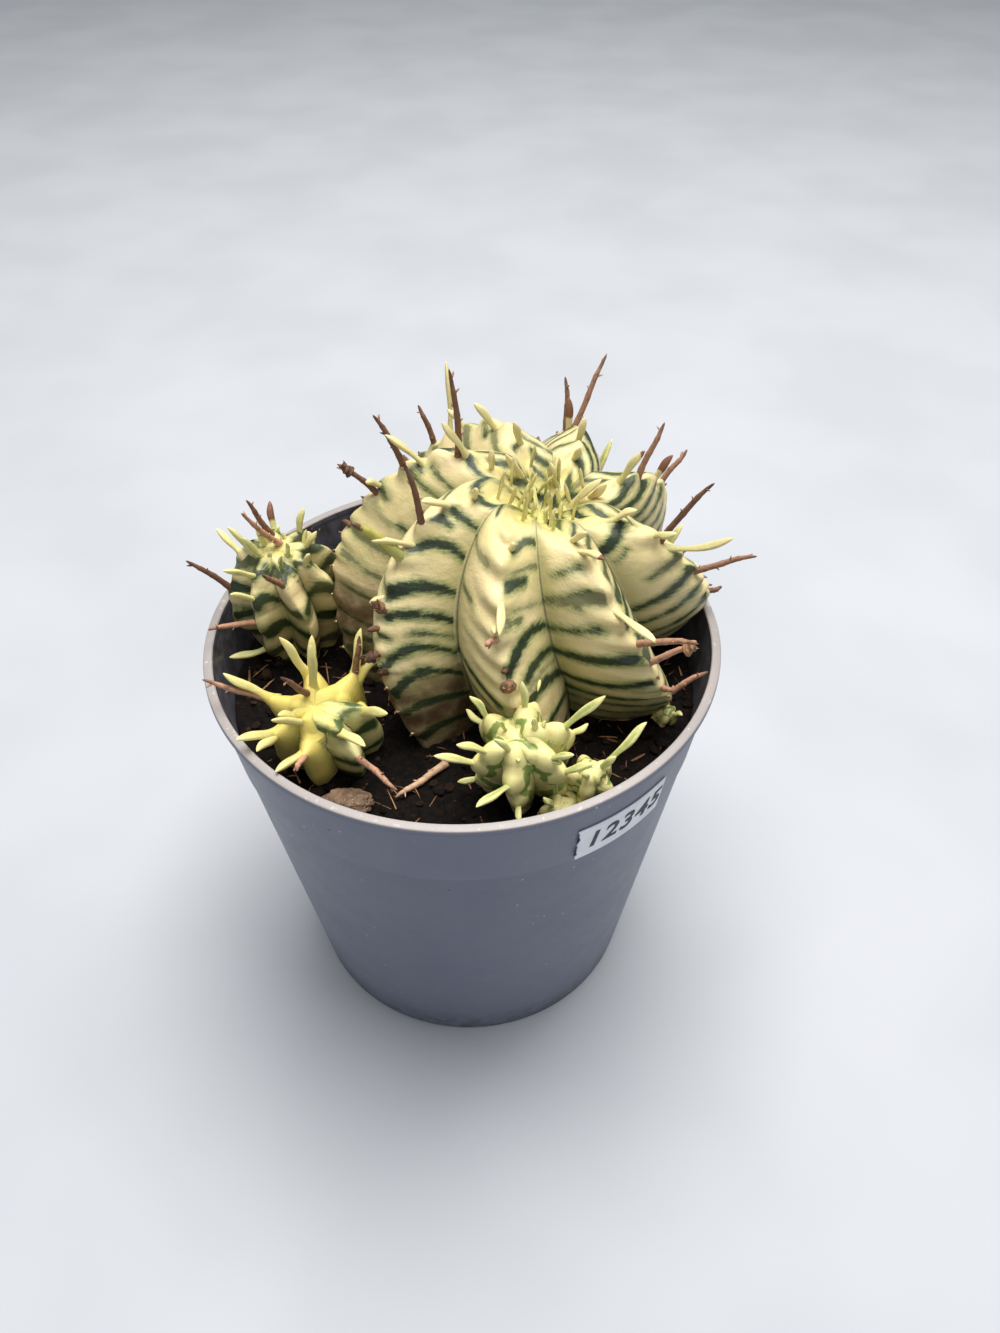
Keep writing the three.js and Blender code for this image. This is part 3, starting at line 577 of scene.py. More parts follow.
def soil_finish(name, dark, middle, light):
    soil = Finish(name, 0.95, dark, Specular_IOR_Level=0.15)
    soil.lay(soil.step(soil.noise(1.6, 5, 0.75), 0.35, 0.7), middle)
    soil.lay(soil.step(soil.noise(0.7, 4, 0.7), 0.6, 0.8), light)
    soil.lay(soil.value("tint"), light)
    soil.bump(soil.noise(0.5, 4, 0.75), 0.3)
    return soil.material


def paper_finish():
    paper = Finish("label_paper", 0.55, paint(222, 224, 230))
    paper.lay(paper.step(paper.noise(4, 3), 0.3, 0.7), paint(236, 236, 240))
    paper.lay(paper.step(paper.noise(1.4, 4, 0.7), 0.62, 0.78, 0, 0.35), paint(150, 148, 150))
    paper.bump(paper.noise(0.3, 3), 0.02)
    return paper.material


def ink_finish():
    ink = Finish("label_ink", 0.6, paint(38, 44, 62))
    ink.lay(ink.step(ink.noise(0.5, 3), 0.4, 0.8), paint(60, 68, 88))
    ink.bump(ink.noise(0.3, 2), 0.01)
    return ink.material


# The form of a head's skin, the same as in the solid model

def head_axes(head):
    """Sideways, away from the viewer's side, and along the head's own stem."""
    stem = unit(np.array([head["lean"][0], head["lean"][1], 1.0]))
    side = unit(np.array([1.0, 0, 0]) - stem * stem[0])
    return side, np.cross(stem, side), stem


def knob_angles(head):
    angles = []
    angle = head["first_knob"]
    while angle < head["foot"]:
        angles.append(angle)
        spread = head["knob_spread"] * bell(angle, head["knob_middle"], head["knob_sigma"])
        angle += head["knob_step"] + spread
    return np.array(angles)


def knob_angle(head, rib, knob):
    angles = knob_angles(head)
    return np.interp(knob + (rib % 2) / 2, np.arange(len(angles)), angles)


def knob_wave(head, odd, polar):
    """1 on top of a knob and 0 half way between two."""
    angles = knob_angles(head)
    tops = (angles[:-1] + angles[1:]) / 2 if odd else angles[:-1]
    knob = np.interp(polar, tops, np.arange(len(tops)), right=len(tops) - 0.5)
    return 0.5 + 0.5 * np.cos(2 * np.pi * knob)


def press_against_pot(points):
    """A stem pressed against the pot gives way to its wall and rim."""
    height = points[:, 2]
    above = np.maximum(0, height - POT_HEIGHT - 0.7) * PRESS_SLOPE_ABOVE
    limit = PRESS_REACH + above - np.maximum(0, PRESS_HEIGHT - height) * PRESS_SLOPE_BELOW
    reach = np.hypot(points[:, 0], points[:, 1])
    points[:, :2] *= np.minimum(1, limit / np.maximum(reach, 1e-6))[:, None]
    return points


def head_points(head, place, polar, knobs=True):
    """Points of a head's skin. The place counts ribs round the head, with a valley at each half."""
    place = np.asarray(place, float)
    polar = np.asarray(polar, float)
    rib = np.floor(place + 0.5)
    across = np.abs(2 * (place - rib))
    sine = np.sin(np.radians(polar))
    cosine = np.cos(np.radians(polar))
    reach = head["radius"] * np.abs(sine) ** head["roundness"]
    dome = head["height"] * np.abs(cosine) ** head["roundness"]
    height = np.where(cosine > 0, dome, head["depth"] * cosine)
    height = height - head["dimple_depth"] * bell(reach, 0, head["dimple_radius"])
    turn = head["start"] + place * 360 / head["ribs"] + head["skew"] * across
    turn = turn + head["twist"] * (1 - np.minimum(polar / 90, 1))
    turn = turn + head["foot_twist"] * np.maximum(0, polar - 90)
    reach = reach * (1 - head["valley"] * across ** 1.35)
    if knobs:
        wave = np.where(rib % 2 == 1, knob_wave(head, True, polar), knob_wave(head, False, polar))
        extra = head["knob_extra"] * bell(polar, head["extra_middle"], head["extra_sigma"])
        bump = (head["knob_height"] + extra) * wave * bell(across, 0, 0.3) * np.minimum(1, polar / 12)
        reach = reach + bump * sine
        height = height + bump * np.maximum(cosine, 0) * 0.7
    side, far, stem = head_axes(head)
    points = (
        np.array(head["centre"])
        + np.outer(reach * np.cos(np.radians(turn)), side)
        + np.outer(reach * np.sin(np.radians(turn)), far)
        + np.outer(height, stem)
    )
    return press_against_pot(points)


def head_point(head, rib, polar, knobs=True):
    return head_points(head, np.array([rib]), np.array([polar]), knobs)[0]


def crest_lengths(head):
    """Polar angles and how many millimetres each lies from the growing tip along a crest."""
    polar = np.linspace(0, head["foot"], 400)
    points = head_points(head, np.zeros(400), polar, knobs=False)
    steps = np.linalg.norm(np.diff(points, axis=0), axis=1)
    return polar, np.concatenate([[0], np.cumsum(steps)])


def crest_frame(head, rib, knob):
    """Where a piece grows: the crest point, the normal, the way up the crest and to the next rib."""
    polar = knob_angle(head, rib, knob)
    point = head_point(head, rib, polar)
    up = unit(head_point(head, rib, polar - 2, False) - head_point(head, rib, polar + 2, False))
    side, far, stem = head_axes(head)
    turn = head["start"] + rib * 360 / head["ribs"] + head["twist"] * (1 - min(polar / 90, 1))
    turn = np.radians(turn + head["foot_twist"] * max(0, polar - 90))
    outward = side * np.cos(turn) + far * np.sin(turn)
    along = np.cross(stem, outward)
    normal = unit(np.cross(along, up))
    sine, cosine = np.sin(np.radians(polar)), np.cos(np.radians(polar))
    if normal @ outward * sine + normal @ stem * cosine < 0:
        normal = -normal
    following = np.cross(normal, up)
    if following @ along < 0:
        following = -following
    return point, normal, up, following


def growth_direction(crest, lean, turn):
    point, normal, up, following = crest
    lean, turn = math.radians(lean), math.radians(turn)
    ahead = normal * math.cos(lean) * math.cos(turn) + up * math.sin(lean) * math.cos(turn)
    return ahead + following * math.sin(turn)


# The green bands. Each side of a rib has its own: side 1 faces the next rib and side -1 the one
# before. A band is given by where it starts and ends across the rib (1 in the valley, 0 on the
# crest), how many millimetres down from the growing tip it lies at its start, middle and end,
# its half width at both ends, and how dark it is.
MAIN_BANDS = {
    (7, 1): [
        (0.95, 0.1, 14.5, 13, 11.8, 0.8, 0.9, 0.95), (1.05, 0.25, 21.5, 19, 17.3, 0.4, 0.8, 0.95),
        (0.5, 0.08, 20.5, 19.6, 19.3, 0.4, 0.9, 0.95), (1.05, 0.12, 28.3, 24, 25.5, 0.45, 1, 1),
        (1.05, 0.1, 34.3, 31.2, 32.8, 0.4, 1.25, 1), (1.05, 0.12, 39.2, 36, 36.6, 0.5, 0.7, 1),
        (0.14, 0, 39.6, 39.5, 39.5, 0.5, 0.6, 0.9), (1.05, 0.42, 41.8, 39.6, 39, 0.25, 0.4, 0.85),
        (1.05, 0.06, 45.8, 41.3, 44.8, 0.35, 0.95, 1), (1.05, 0.06, 50.5, 45.8, 49.6, 0.5, 1.05, 1),
        (1.05, 0.1, 54.5, 51.6, 53.4, 0.6, 0.9, 0.95), (1.05, 0.1, 60.3, 57.3, 59.6, 0.6, 0.9, 0.95),
        (1.05, 0.1, 66, 63, 65, 0.6, 0.8, 0.9), (1.05, 0.1, 71, 69, 70.5, 0.6, 0.8, 0.9),
    ],
    (0, -1): [
        (1.05, 0.7, 13, 13.3, 14, 0.8, 0.5, 0.9), (1.05, 0.3, 22.5, 21.5, 20.8, 0.4, 0.8, 0.5),
        (0.92, 0.5, 30, 29, 28.3, 0.3, 0.5, 0.65), (0.7, 0.35, 34.5, 34, 33.5, 0.3, 0.4, 0.3),
        (1.05, 0.22, 44.3, 40.8, 42.3, 0.3, 0.6, 1), (1.05, 0.3, 48.3, 44.7, 45.6, 0.3, 0.35, 0.9),
        (1.05, 0.2, 53, 49.5, 50, 0.4, 0.5, 0.9), (1.05, 0.2, 58, 55, 56, 0.4, 0.5, 0.8),
    ],
    (0, 1): [
        (0.95, 0.3, 18.2, 16.2, 17, 0.6, 1, 0.85), (1, 0.25, 23, 21, 21.2, 0.4, 0.5, 0.55),
        (0.58, 0.18, 22.9, 22.6, 22.4, 0.7, 0.9, 0.95), (1.05, 0.3, 30, 27.6, 26.4, 0.2, 0.3, 0.5),
        (0.42, 0.1, 28.4, 28, 27.9, 0.5, 0.6, 0.7), (1.05, 0.04, 34.6, 31.3, 35, 0.4, 1.2, 1),
        (1.05, 0.3, 39, 36.4, 37.2, 0.6, 0.8, 0.95), (1.05, 0.3, 41.5, 38.7, 39.2, 0.3, 0.4, 0.5),
        (1.05, 0.2, 45, 40.7, 41, 0.9, 0.8, 0.95), (1.05, 0.2, 51, 47, 47.5, 0.6, 0.7, 0.95),
        (1.05, 0.2, 56, 52.5, 53, 0.5, 0.6, 0.9), (1.05, 0.2, 61, 58, 58, 0.5, 0.6, 0.9),
    ],
    (1, -1): [
        (0.78, 0.2, 23, 20.2, 18.3, 0.3, 0.6, 0.75), (1, 0.15, 28.9, 25.6, 23.2, 0.4, 1.3, 0.6),
        (0.95, 0.25, 28.6, 25, 22.3, 0.25, 0.35, 0.85), (1, 0.45, 29.8, 27.3, 26, 0.2, 0.3, 0.7),
        (1.05, 0.3, 34.8, 31.7, 29.2, 0.35, 0.55, 0.95), (1.05, 0.12, 39.3, 36.5, 34.3, 0.6, 0.95, 1),
        (1.05, 0.06, 45, 42.2, 40, 0.55, 0.7, 1), (1, 0.1, 48.5, 46.8, 45.4, 0.5, 0.45, 0.95),
        (1, 0.05, 51.5, 49.3, 48, 0.4, 0.4, 0.9), (1, 0.05, 55, 53, 51.5, 0.4, 0.4, 0.9),
        (1, 0.05, 59, 57, 55.5, 0.4, 0.4, 0.85), (1, 0.05, 63, 61, 60, 0.4, 0.4, 0.85),
    ],
    (2, -1): [
        (1.05, 0.15, 22.5, 17.8, 14, 0.9, 1, 1), (0.85, 0.55, 23.8, 22, 20.3, 0.25, 0.35, 0.85),
        (0.6, 0.1, 28, 26.5, 24.8, 0.3, 0.9, 0.7), (1.05, 0.08, 37, 33, 29, 0.35, 1.1, 0.95),
        (1.05, 0.08, 41.5, 37.5, 34, 0.35, 0.8, 0.9), (1.05, 0.08, 46, 42.5, 39, 0.35, 0.6, 0.9),
        (1.05, 0.1, 51, 47, 44, 0.35, 0.6, 0.85), (1.05, 0.1, 56, 52, 49, 0.35, 0.6, 0.85),
    ],
    (3, -1): [
        (1, 0.05, 17, 15.8, 15.2, 0.8, 0.8, 0.95), (1.05, 0.1, 20.5, 19.5, 19.5, 0.6, 0.8, 0.95),
        (1.05, 0.1, 24.5, 23, 22.5, 0.4, 0.5, 0.9), (1.05, 0.1, 27.5, 26, 26, 0.35, 0.45, 0.85),
        (1.05, 0.1, 31, 29.5, 29, 0.35, 0.4, 0.85), (1.05, 0.1, 35, 33.5, 33, 0.4, 0.5, 0.85),
        (1.05, 0.15, 39.5, 38, 37, 0.5, 0.7, 0.9), (1.05, 0.1, 44, 42.5, 41, 0.4, 0.6, 0.85),
        (1.05, 0.2, 49, 47, 46, 0.4, 0.6, 0.85), (1.05, 0.1, 54, 52, 51, 0.5, 0.6, 0.85),
    ],
    (4, 1): [
        (1.05, 0.1, 17, 15.5, 14.5, 0.4, 0.5, 0.8), (1.05, 0.2, 22, 20.5, 19.5, 0.4, 0.7, 0.9),
        (1.05, 0.1, 26.5, 25, 24.5, 0.4, 0.6, 0.9), (1.05, 0.3, 31, 29.5, 29, 0.3, 0.6, 0.85),
        (1.05, 0.1, 35.5, 34, 33.5, 0.5, 0.8, 0.9), (1.05, 0.2, 40, 38.5, 38, 0.4, 0.6, 0.9),
        (1.05, 0.1, 45, 43.5, 43, 0.4, 0.7, 0.9), (1.05, 0.2, 50, 48, 47.5, 0.4, 0.6, 0.9),
    ],
    (5, 1): [
        (1, 0.4, 8, 7.5, 7, 0.4, 0.5, 0.6), (0.6, 0.2, 13.2, 13, 12.8, 0.5, 0.6, 0.85),
        (1.05, 0.2, 18.5, 18.7, 19, 0.8, 0.8, 0.6), (0.5, 0.15, 21, 21, 21.2, 0.4, 0.5, 0.8),
        (1.05, 0.1, 26.5, 26, 26, 0.8, 0.8, 0.65), (1, 0.2, 34.5, 34, 34, 0.6, 0.6, 0.7),
        (1.05, 0.1, 39.5, 38.5, 38, 0.5, 0.8, 0.8), (1.05, 0.2, 45, 43.5, 43, 0.5, 0.8, 0.85),
        (1.05, 0.1, 50, 48.5, 48, 0.4, 0.7, 0.85),
    ],
    (6, 1): [
        (1.05, 0.1, 15.8, 14.7, 14, 0.6, 0.9, 1), (1, 0.25, 22.5, 21.5, 20.8, 0.25, 0.35, 0.75),
        (0.3, 0.05, 23, 22.7, 22.6, 0.5, 0.6, 0.9), (1, 0.2, 25.5, 24.8, 24, 0.3, 0.45, 0.85),
        (0.3, 0.05, 30.5, 30, 29.6, 0.5, 0.6, 0.8), (0.6, 0.2, 34, 33.5, 32.5, 0.6, 0.6, 0.35),
        (1, 0.7, 34, 33.8, 33.5, 0.3, 0.35, 0.9), (0.8, 0.1, 39, 38.5, 38, 0.5, 0.7, 0.6),
        (0.85, 0.15, 44, 43, 42.5, 0.4, 0.5, 0.6), (0.9, 0.2, 49, 48, 47.5, 0.4, 0.5, 0.7),
        (0.95, 0.1, 54.5, 53, 52.5, 0.4, 0.5, 0.8),
    ],
    (7, -1): [
        (1.05, 0.15, 14.6, 13.5, 12, 0.8, 0.8, 1), (1.05, 0.3, 19.5, 18.5, 18, 0.3, 0.5, 0.8),
        (1.05, 0.1, 24, 23, 22.5, 0.5, 0.8, 0.9), (1.05, 0.2, 29, 28, 27.5, 0.4, 0.7, 0.85),
        (1.05, 0.1, 34, 33, 32.5, 0.4, 0.8, 0.9), (1.05, 0.2, 39, 38, 37.5, 0.4, 0.6, 0.85),
        (1.05, 0.1, 44, 42.5, 42, 0.4, 0.7, 0.9), (1.05, 0.2, 49, 47.5, 47, 0.4, 0.7, 0.85),
    ],
}


def drawn_bands(head, seed):
    """Bands at uneven steps, for what the photograph doesn't show of the ribs' sides."""
    random = draws(seed)
    step = head["band_step"]
    bands = []
    down = step * (1 + next(random))
    last = crest_lengths(head)[1][-1]
    while down < last:
        rise = step * (0.5 * next(random) - 0.1)
        reach = 0.06 + 0.3 * next(random)
        half = step * head["band_half"] * (0.75 + 0.6 * next(random))
        dark = 0.75 + 0.25 * next(random)
        bands.append((1.05, reach, down + rise, down - rise * 0.4, down, half * 0.7, half * 1.4, dark))
        down += step * (0.8 + 0.5 * next(random))
    return bands


def band_values(across, down, bands, width):
    """How far inside a band each place lies, in millimetres, and how dark that band is."""
    inside = np.full(len(across), -3.0)
    dark = np.full(len(across), 0.9)
    for first, last, start, middle, end, half_first, half_last, strength in bands:
        share = (first - across) / (first - last)
        held = np.clip(share, 0, 1)
        outer = start * (1 - held) * (1 - 2 * held)
        centre = outer + middle * 4 * held * (1 - held) + end * held * (2 * held - 1)
        half = 1.1 * (half_first + (half_last - half_first) * held)
        past = np.maximum(0, np.abs(share - 0.5) - 0.5) * (first - last) * width
        depth = half - np.hypot(down - centre, past)
        dark = np.where(depth > inside, strength, dark)
        inside = np.maximum(inside, depth)
    return inside, dark


def swollen(head, growth, points):
    """The skin's points moved out under the leaves, and how near each is to a crease, from 0 to 1."""
    spots = {tuple(item[:2]): item[4:6] for item in growth if item[2] != "young"}
    if not head["pointed"]:
        for rib in range(head["ribs"]):
            for knob in range(1, 4):
                spots.setdefault((rib, knob), (0, 0))
    lift = np.zeros(len(points))
    away = np.zeros_like(points)
    nearest = np.ones(len(points))
    for (rib, knob), (lean, turn) in spots.items():
        crest = crest_frame(head, rib, knob)
        middle = head_point(head, rib, knob_angle(head, rib, knob), False)
        share = np.minimum(1, np.linalg.norm(points - middle, axis=1) / head["swell_radius"])
        nearest = np.minimum(nearest, share)
        rise = (1 - share) ** 1.7 if head["pointed"] else np.sqrt(1 - share ** 2)
        direction = unit(crest[1] + 0.7 * growth_direction(crest, lean, turn))
        higher = rise > lift
        away[higher] = direction
        lift = np.maximum(lift, rise)
    return points + away * (lift * head["swell"])[:, None], nearest


def head_skin(name, head, growth, columns, rows, finish, seed):
    """The ribbed skin: a sphere whose vertices are moved to the head's formula."""
    deselect()
    segments = head["ribs"] * columns
    bpy.ops.mesh.primitive_uv_sphere_add(segments=segments, ring_count=rows)
    skin = just_made(name)
    ball = read_places(skin)
    turn = np.degrees(np.arctan2(ball[:, 1], ball[:, 0])) % 360
    place = (np.round(turn / 360 * segments) % segments) / columns
    ring = np.round(np.degrees(np.arccos(np.clip(ball[:, 2], -1, 1))) / 180 * rows)
    polar = np.minimum(ring / (rows - 1), 1) * head["foot"]
    points = head_points(head, place, polar, knobs=not head["swell"])
    rib = np.floor(place + 0.5)
    across = 2 * (place - rib)
    rib = rib % head["ribs"]
    off_crest = np.abs(across)
    crease = off_crest
    if head["swell"]:
        points, crease = swollen(head, growth, points)
    points[ring > rows - 0.5] = points[ring == rows - 1].mean(axis=0)
    write_places(skin, points)
    angles, lengths = crest_lengths(head)
    down = np.interp(polar, angles, lengths)
    width = head["radius"] * math.pi / head["ribs"]
    band = np.full(len(place), -3.0)
    bold = np.ones(len(place))
    for number in head["banded"]:
        for side in (-1, 1):
            here = (rib == number) & (across * side >= 0)
            bands = drawn_bands(head, seed + 17 * number + 5 * side)
            if head is MAIN_HEAD and (number, side) in MAIN_BANDS:
                seen = MAIN_BANDS[number, side]
                bands = seen + [more for more in bands if more[4] > seen[-1][4] + head["band_step"]]
            band[here], bold[here] = band_values(off_crest[here], down[here], bands, width)
    # Tan low down: older skin that is really tan, and partly painted shade, on the offsets' undersides and
    # on the main head's ribs 0 to 5 where they curve under
    low = smooth_step(polar, 80, 106) * 0.3
    if head is MAIN_HEAD:
        low = np.where(rib >= 6, smooth_step(down, 40, 52), smooth_step(down, 36, 54) * 0.45)
    # The greener zone round the growing tip is partly painted shade that darkens the top
    plain = ~np.isin(rib, list(head["banded"]))
    values = {
        "band": band, "bold": bold, "across": off_crest, "crease": crease, "sideways": off_crest * width,
        "down": down, "low": low, "fresh_and_shade": np.maximum(smooth_step(polar, 34, 6), plain),
    }
    for word, numbers in values.items():
        write_values(skin, word, numbers)
    shade_smooth(skin)
    return dress(skin, finish)


# Prototypes of what grows on the heads, each one unit long

LEAF_OUTLINE = [
    (0.95, 0), (0.8, 0.06), (0.7, 0.12), (0.63, 0.2), (0.6, 0.29), (0.67, 0.39), (0.81, 0.49), (0.94, 0.59),
    (1.0, 0.68), (0.95, 0.77), (0.78, 0.86), (0.5, 0.935), (0.24, 0.98), (0.05, 1),
]
STALK_OUTLINE = [
    (1.3, 0), (1.08, 0.1), (1, 0.2), (1.04, 0.27), (0.92, 0.31), (0.9, 0.48), (0.98, 0.53), (0.86, 0.57),
    (0.78, 0.72), (0.84, 0.76), (0.68, 0.8), (0.55, 0.9), (0.34, 0.97), (0.06, 1),
]
BRACT_OUTLINE = [(0.8, 0), (1, 0.35), (0.7, 0.75), (0.1, 1)]


def prototype(name, outline, sides):
    shape = turned(name, outline, sides)
    shade_smooth(shape)
    shape.hide_render = True
    return shape


def bent_copy(shape, start, end, broad, face, bow, half_width, half_thickness,
              fold=0.0, wobble=0.0, phase=0.0, flare=0.0, flare_reach=1.0):
    """A copy of a prototype, laid along a bowed line from start to end."""
    copy = copy_of(shape)
    unit_shape = read_places(shape)
    along = np.clip(unit_shape[:, 2], 0, 1)
    centre = np.outer(1 - along, start) + np.outer(along, end)
    sway = wobble * np.sin(along * 9 + phase) * along
    swell = flare * bell(along * np.linalg.norm(end - start), 0, flare_reach)
    across = unit_shape[:, 0] * (half_width + swell)
    raised = unit_shape[:, 1] * (half_thickness + swell) + fold * unit_shape[:, 0] ** 2 * half_width
    bowed = np.outer(4 * bow * along * (1 - along) + raised, face)
    points = centre + bowed + np.outer(across + sway, broad)
    write_places(copy, points)
    write_values(copy, "along", along)
    write_values(copy, "rim", np.minimum(1, np.abs(unit_shape[:, 0])))
    return copy


def growth_lines(head, item):
    """Start, end, and the broad and face directions of a growing piece, with its bow."""
    rib, knob, kind, length, lean, turn = item[:6]
    bow = item[6] if len(item) > 6 else length * 0.04
    crest = crest_frame(head, rib, knob)
    point, normal, up, following = crest
    direction = growth_direction(crest, lean, turn)
    broad = np.cross(direction, up)
    broad = unit(following if np.linalg.norm(broad) < 0.3 else broad)
    face = unit(np.cross(broad, direction))
    if face @ up < 0:
        face, broad = -face, -broad
    start = point - normal * ROOT_DEPTH
    return start, point + direction * length, broad, face, bow, direction


def grown_pieces(name, head, growth, finishes, seed, tint_range):
    """Leaves, stalks, bracts and dry flowers of one head, joined by their kind."""
    random = draws(seed)
    made = {part: [] for part in finishes}
    for item in growth:
        kind, length = item[2], item[3]
        spot = tuple(item[:2])
        start, end, broad, face, bow, direction = growth_lines(head, item)
        if kind in ("leaf", "young", "tooth"):
            share = {"leaf": min(1, 0.5 + length / 12), "young": 0.48, "tooth": 0.3}[kind]
            width = LEAF_HALF_WIDTH * share
            flare = head["flare"] * 0.3
            if kind == "leaf":
                end = end + direction * head["swell"] * 0.5
                flare = head["flare"] * min(1, 0.3 + length / 9)
            tooth = kind == "tooth"
            leaf = bent_copy(
                STALK if tooth else LEAF, start, end, broad, face, bow, width,
                min(width, LEAF_HALF_THICKNESS), 0 if tooth else 0.3,
                0.5 * (next(random) - 0.5), 6 * next(random), flare, head["flare_reach"],
            )
            low, high = (0.8, 1) if kind == "young" else tint_range
            write_values(leaf, "tint", low + (high - low) * next(random))
            write_values(leaf, "dry", DRY_FROM.get(name, {}).get(spot, 0.7 if tooth else 1.3))
            made["leaves"].append(leaf)
            continue
        stout = kind == "stout"
        radius = STOUT_STALK_RADIUS if stout else STALK_RADIUS
        stalk = bent_copy(STALK, start, end, broad, face, bow, radius, radius, 0, 0.2, 6 * next(random))
        tone = TONES.get(name, {}).get(spot, 0.35 * next(random))
        write_values(stalk, "tint", tone)
        if stout:
            write_values(stalk, "dry", 0.86)
            made["stout_stalk"].append(stalk)
        else:
            made["stalks"].append(stalk)
            made["stalks"].extend(bracts(start, end, broad, face, bow, length, tone, random))
        if kind == "flower":
            tip = end - direction * 0.6
            made["flowers"].extend(dry_flower(tip, direction, broad, face, tone, random))
    return [joined(f"{name}_{part}", made[part], finishes[part]) for part in made if made[part]]


def bracts(start, end, broad, face, bow, length, tone, random):
    """Tiny scales that stand off a stalk by turns."""
    made = []
    count = int(length / BRACT_SPACING)
    for number in range(count):
        share = (number + 0.8) / (count + 0.4)
        base = start + (end - start) * share + face * 4 * bow * share * (1 - share)
        angle = 2.4 * number + 6 * next(random)
        out = broad * math.cos(angle) + face * math.sin(angle)
        along = unit(end - start)
        tip = base + out * 0.95 + along * 0.7
        flat = unit(np.cross(along, out))
        bract = bent_copy(BRACT, base, tip, flat, unit(np.cross(flat, tip - base)), 0, 0.28, 0.14)
        write_values(bract, "tint", min(1, tone + 0.3))
        made.append(bract)
    return made


def dry_flower(tip, direction, broad, face, tone, random):
    """A shrivelled cup with curled lobes."""
    cup = bent_copy(STALK, tip - direction * 0.8, tip + direction * 0.9, broad, face, 0, 1.0, 0.8, 0, 0.5)
    write_values(cup, "tint", tone)
    made = [cup]
    for number in range(6):
        angle = number * 1.05 + 0.8 * next(random)
        out = broad * math.cos(angle) + face * math.sin(angle)
        size = 0.5 + 0.6 * next(random)
        end = tip + out * size + direction * (0.6 + 0.9 * next(random))
        flat = unit(np.cross(direction, out))
        lobe = bent_copy(BRACT, tip, end, flat, direction, -0.25, 0.4, 0.16, 0.4)
        write_values(lobe, "tint", min(1, tone + 0.4 * next(random)))
        made.append(lobe)
    return made


def young_leaves(head, seed, knobs, shortest, longest):
    """Small leaves crowded at the growing tip, one for each rib and knob."""
    random = draws(seed)
    made = []
    for knob in knobs:
        for rib in range(head["ribs"]):
            length = shortest + (longest - shortest) * next(random)
            lean = 8 - 28 * next(random) - 20 * knob
            made.append([rib, knob, "young", length, lean, -20 + 40 * next(random)])
    return made


def teeth(head, growth, seed, first, last):
    """Short teeth with dry tips where leaves have dropped, on the knobs that carry nothing else."""
    random = draws(seed)
    taken = {(item[0], int(item[1])) for item in growth}
    return [
        [rib, knob, "tooth", 0.3 + 0.4 * next(random), -30 + 60 * next(random), -20 + 40 * next(random)]
        for rib in range(head["ribs"]) for knob in range(first, last)
        if (rib, knob) not in taken
    ]


# The pot

def make_pot():
    top = POT_HEIGHT
    under = top - RIM_THICKNESS
    inner_rim = RIM_RADIUS - RIM_WIDTH
    profile = [
        (8, 0), (9, 2.5), (24, 2.5), (26, 0), (BASE_RADIUS - 0.6, 0), (BASE_RADIUS - 0.15, 0.2),
        (BASE_RADIUS, 0.7), (STEP_RADIUS, STEP_HEIGHT), (STEP_RADIUS + 0.15, STEP_HEIGHT + 0.2),
        (UPPER_WALL_RADIUS, UPPER_WALL_START), (RIM_RADIUS - 0.7, under - 0.1), (RIM_RADIUS - 0.6, under),
        (RIM_RADIUS - 0.1, under), (RIM_RADIUS, under + 0.12), (RIM_RADIUS - 0.02, top - 0.3),
        (RIM_RADIUS - 0.12, top - 0.1), (RIM_RADIUS - 0.3, top), (inner_rim + 0.15, top),
        (inner_rim, top - 0.15), (INNER_WALL_TOP_RADIUS, INNER_WALL_TOP), (STEP_RADIUS - WALL, STEP_HEIGHT),
        (BASE_RADIUS - WALL, 1.5), (26.6, 1.5), (24.6, POT_FLOOR), (8.4, POT_FLOOR), (7.4, 1.5),
    ]
    pot = turned("nursery_pot", profile, POT_SIDES, MILLIMETRE)
    drills = []
    for hole in range(DRAIN_HOLES):
        angle = (hole + 0.5) / DRAIN_HOLES * 2 * math.pi
        deselect()
        centre = (DRAIN_CIRCLE_RADIUS * math.cos(angle), DRAIN_CIRCLE_RADIUS * math.sin(angle), 3)
        bpy.ops.mesh.primitive_cylinder_add(
            vertices=24, radius=DRAIN_HOLE_RADIUS * MILLIMETRE, depth=8 * MILLIMETRE,
            location=[MILLIMETRE * value for value in centre],
        )
        drills.append(bpy.context.object)
    drill = joined("drain_drill", drills)
    select_only(pot)
    cut = pot.modifiers.new("drain_holes", "BOOLEAN")
    cut.operation = "DIFFERENCE"
    cut.solver = "EXACT"
    cut.object = drill
    bpy.ops.object.modifier_apply(modifier=cut.name)
    bpy.data.objects.remove(drill)
    select_only(pot)
    bpy.ops.object.shade_smooth_by_angle(angle=math.radians(32))
    return dress(pot, pot_finish())


# The soil

def soil_height(x, y):
    return SOIL_LEVEL + 0.45 * np.sin(x * 0.31 + 1.2) * np.cos(y * 0.27) + 0.3 * np.sin(x * 0.11 - y * 0.73)


def soil_relief(x, y):
    """Lumps and pits of loose peat, in millimetres."""
    lumps = noise.fractal(Vector((x / 5.5, y / 5.5, 3.1)), 1.0, 2.0, 4)
    crumbs = noise.fractal(Vector((x / 1.4, y / 1.4, 8.7)), 0.8, 2.1, 3)
    return 0.8 * lumps + 0.42 * crumbs


def soil_surface(x, y, inner):
    edge = np.clip((inner - np.hypot(x, y)) / 4, 0, 1)
    relief = np.array([soil_relief(a, b) for a, b in zip(x, y)])
    return SOIL_LEVEL + (soil_height(x, y) - SOIL_LEVEL + relief) * (0.25 + 0.75 * edge)


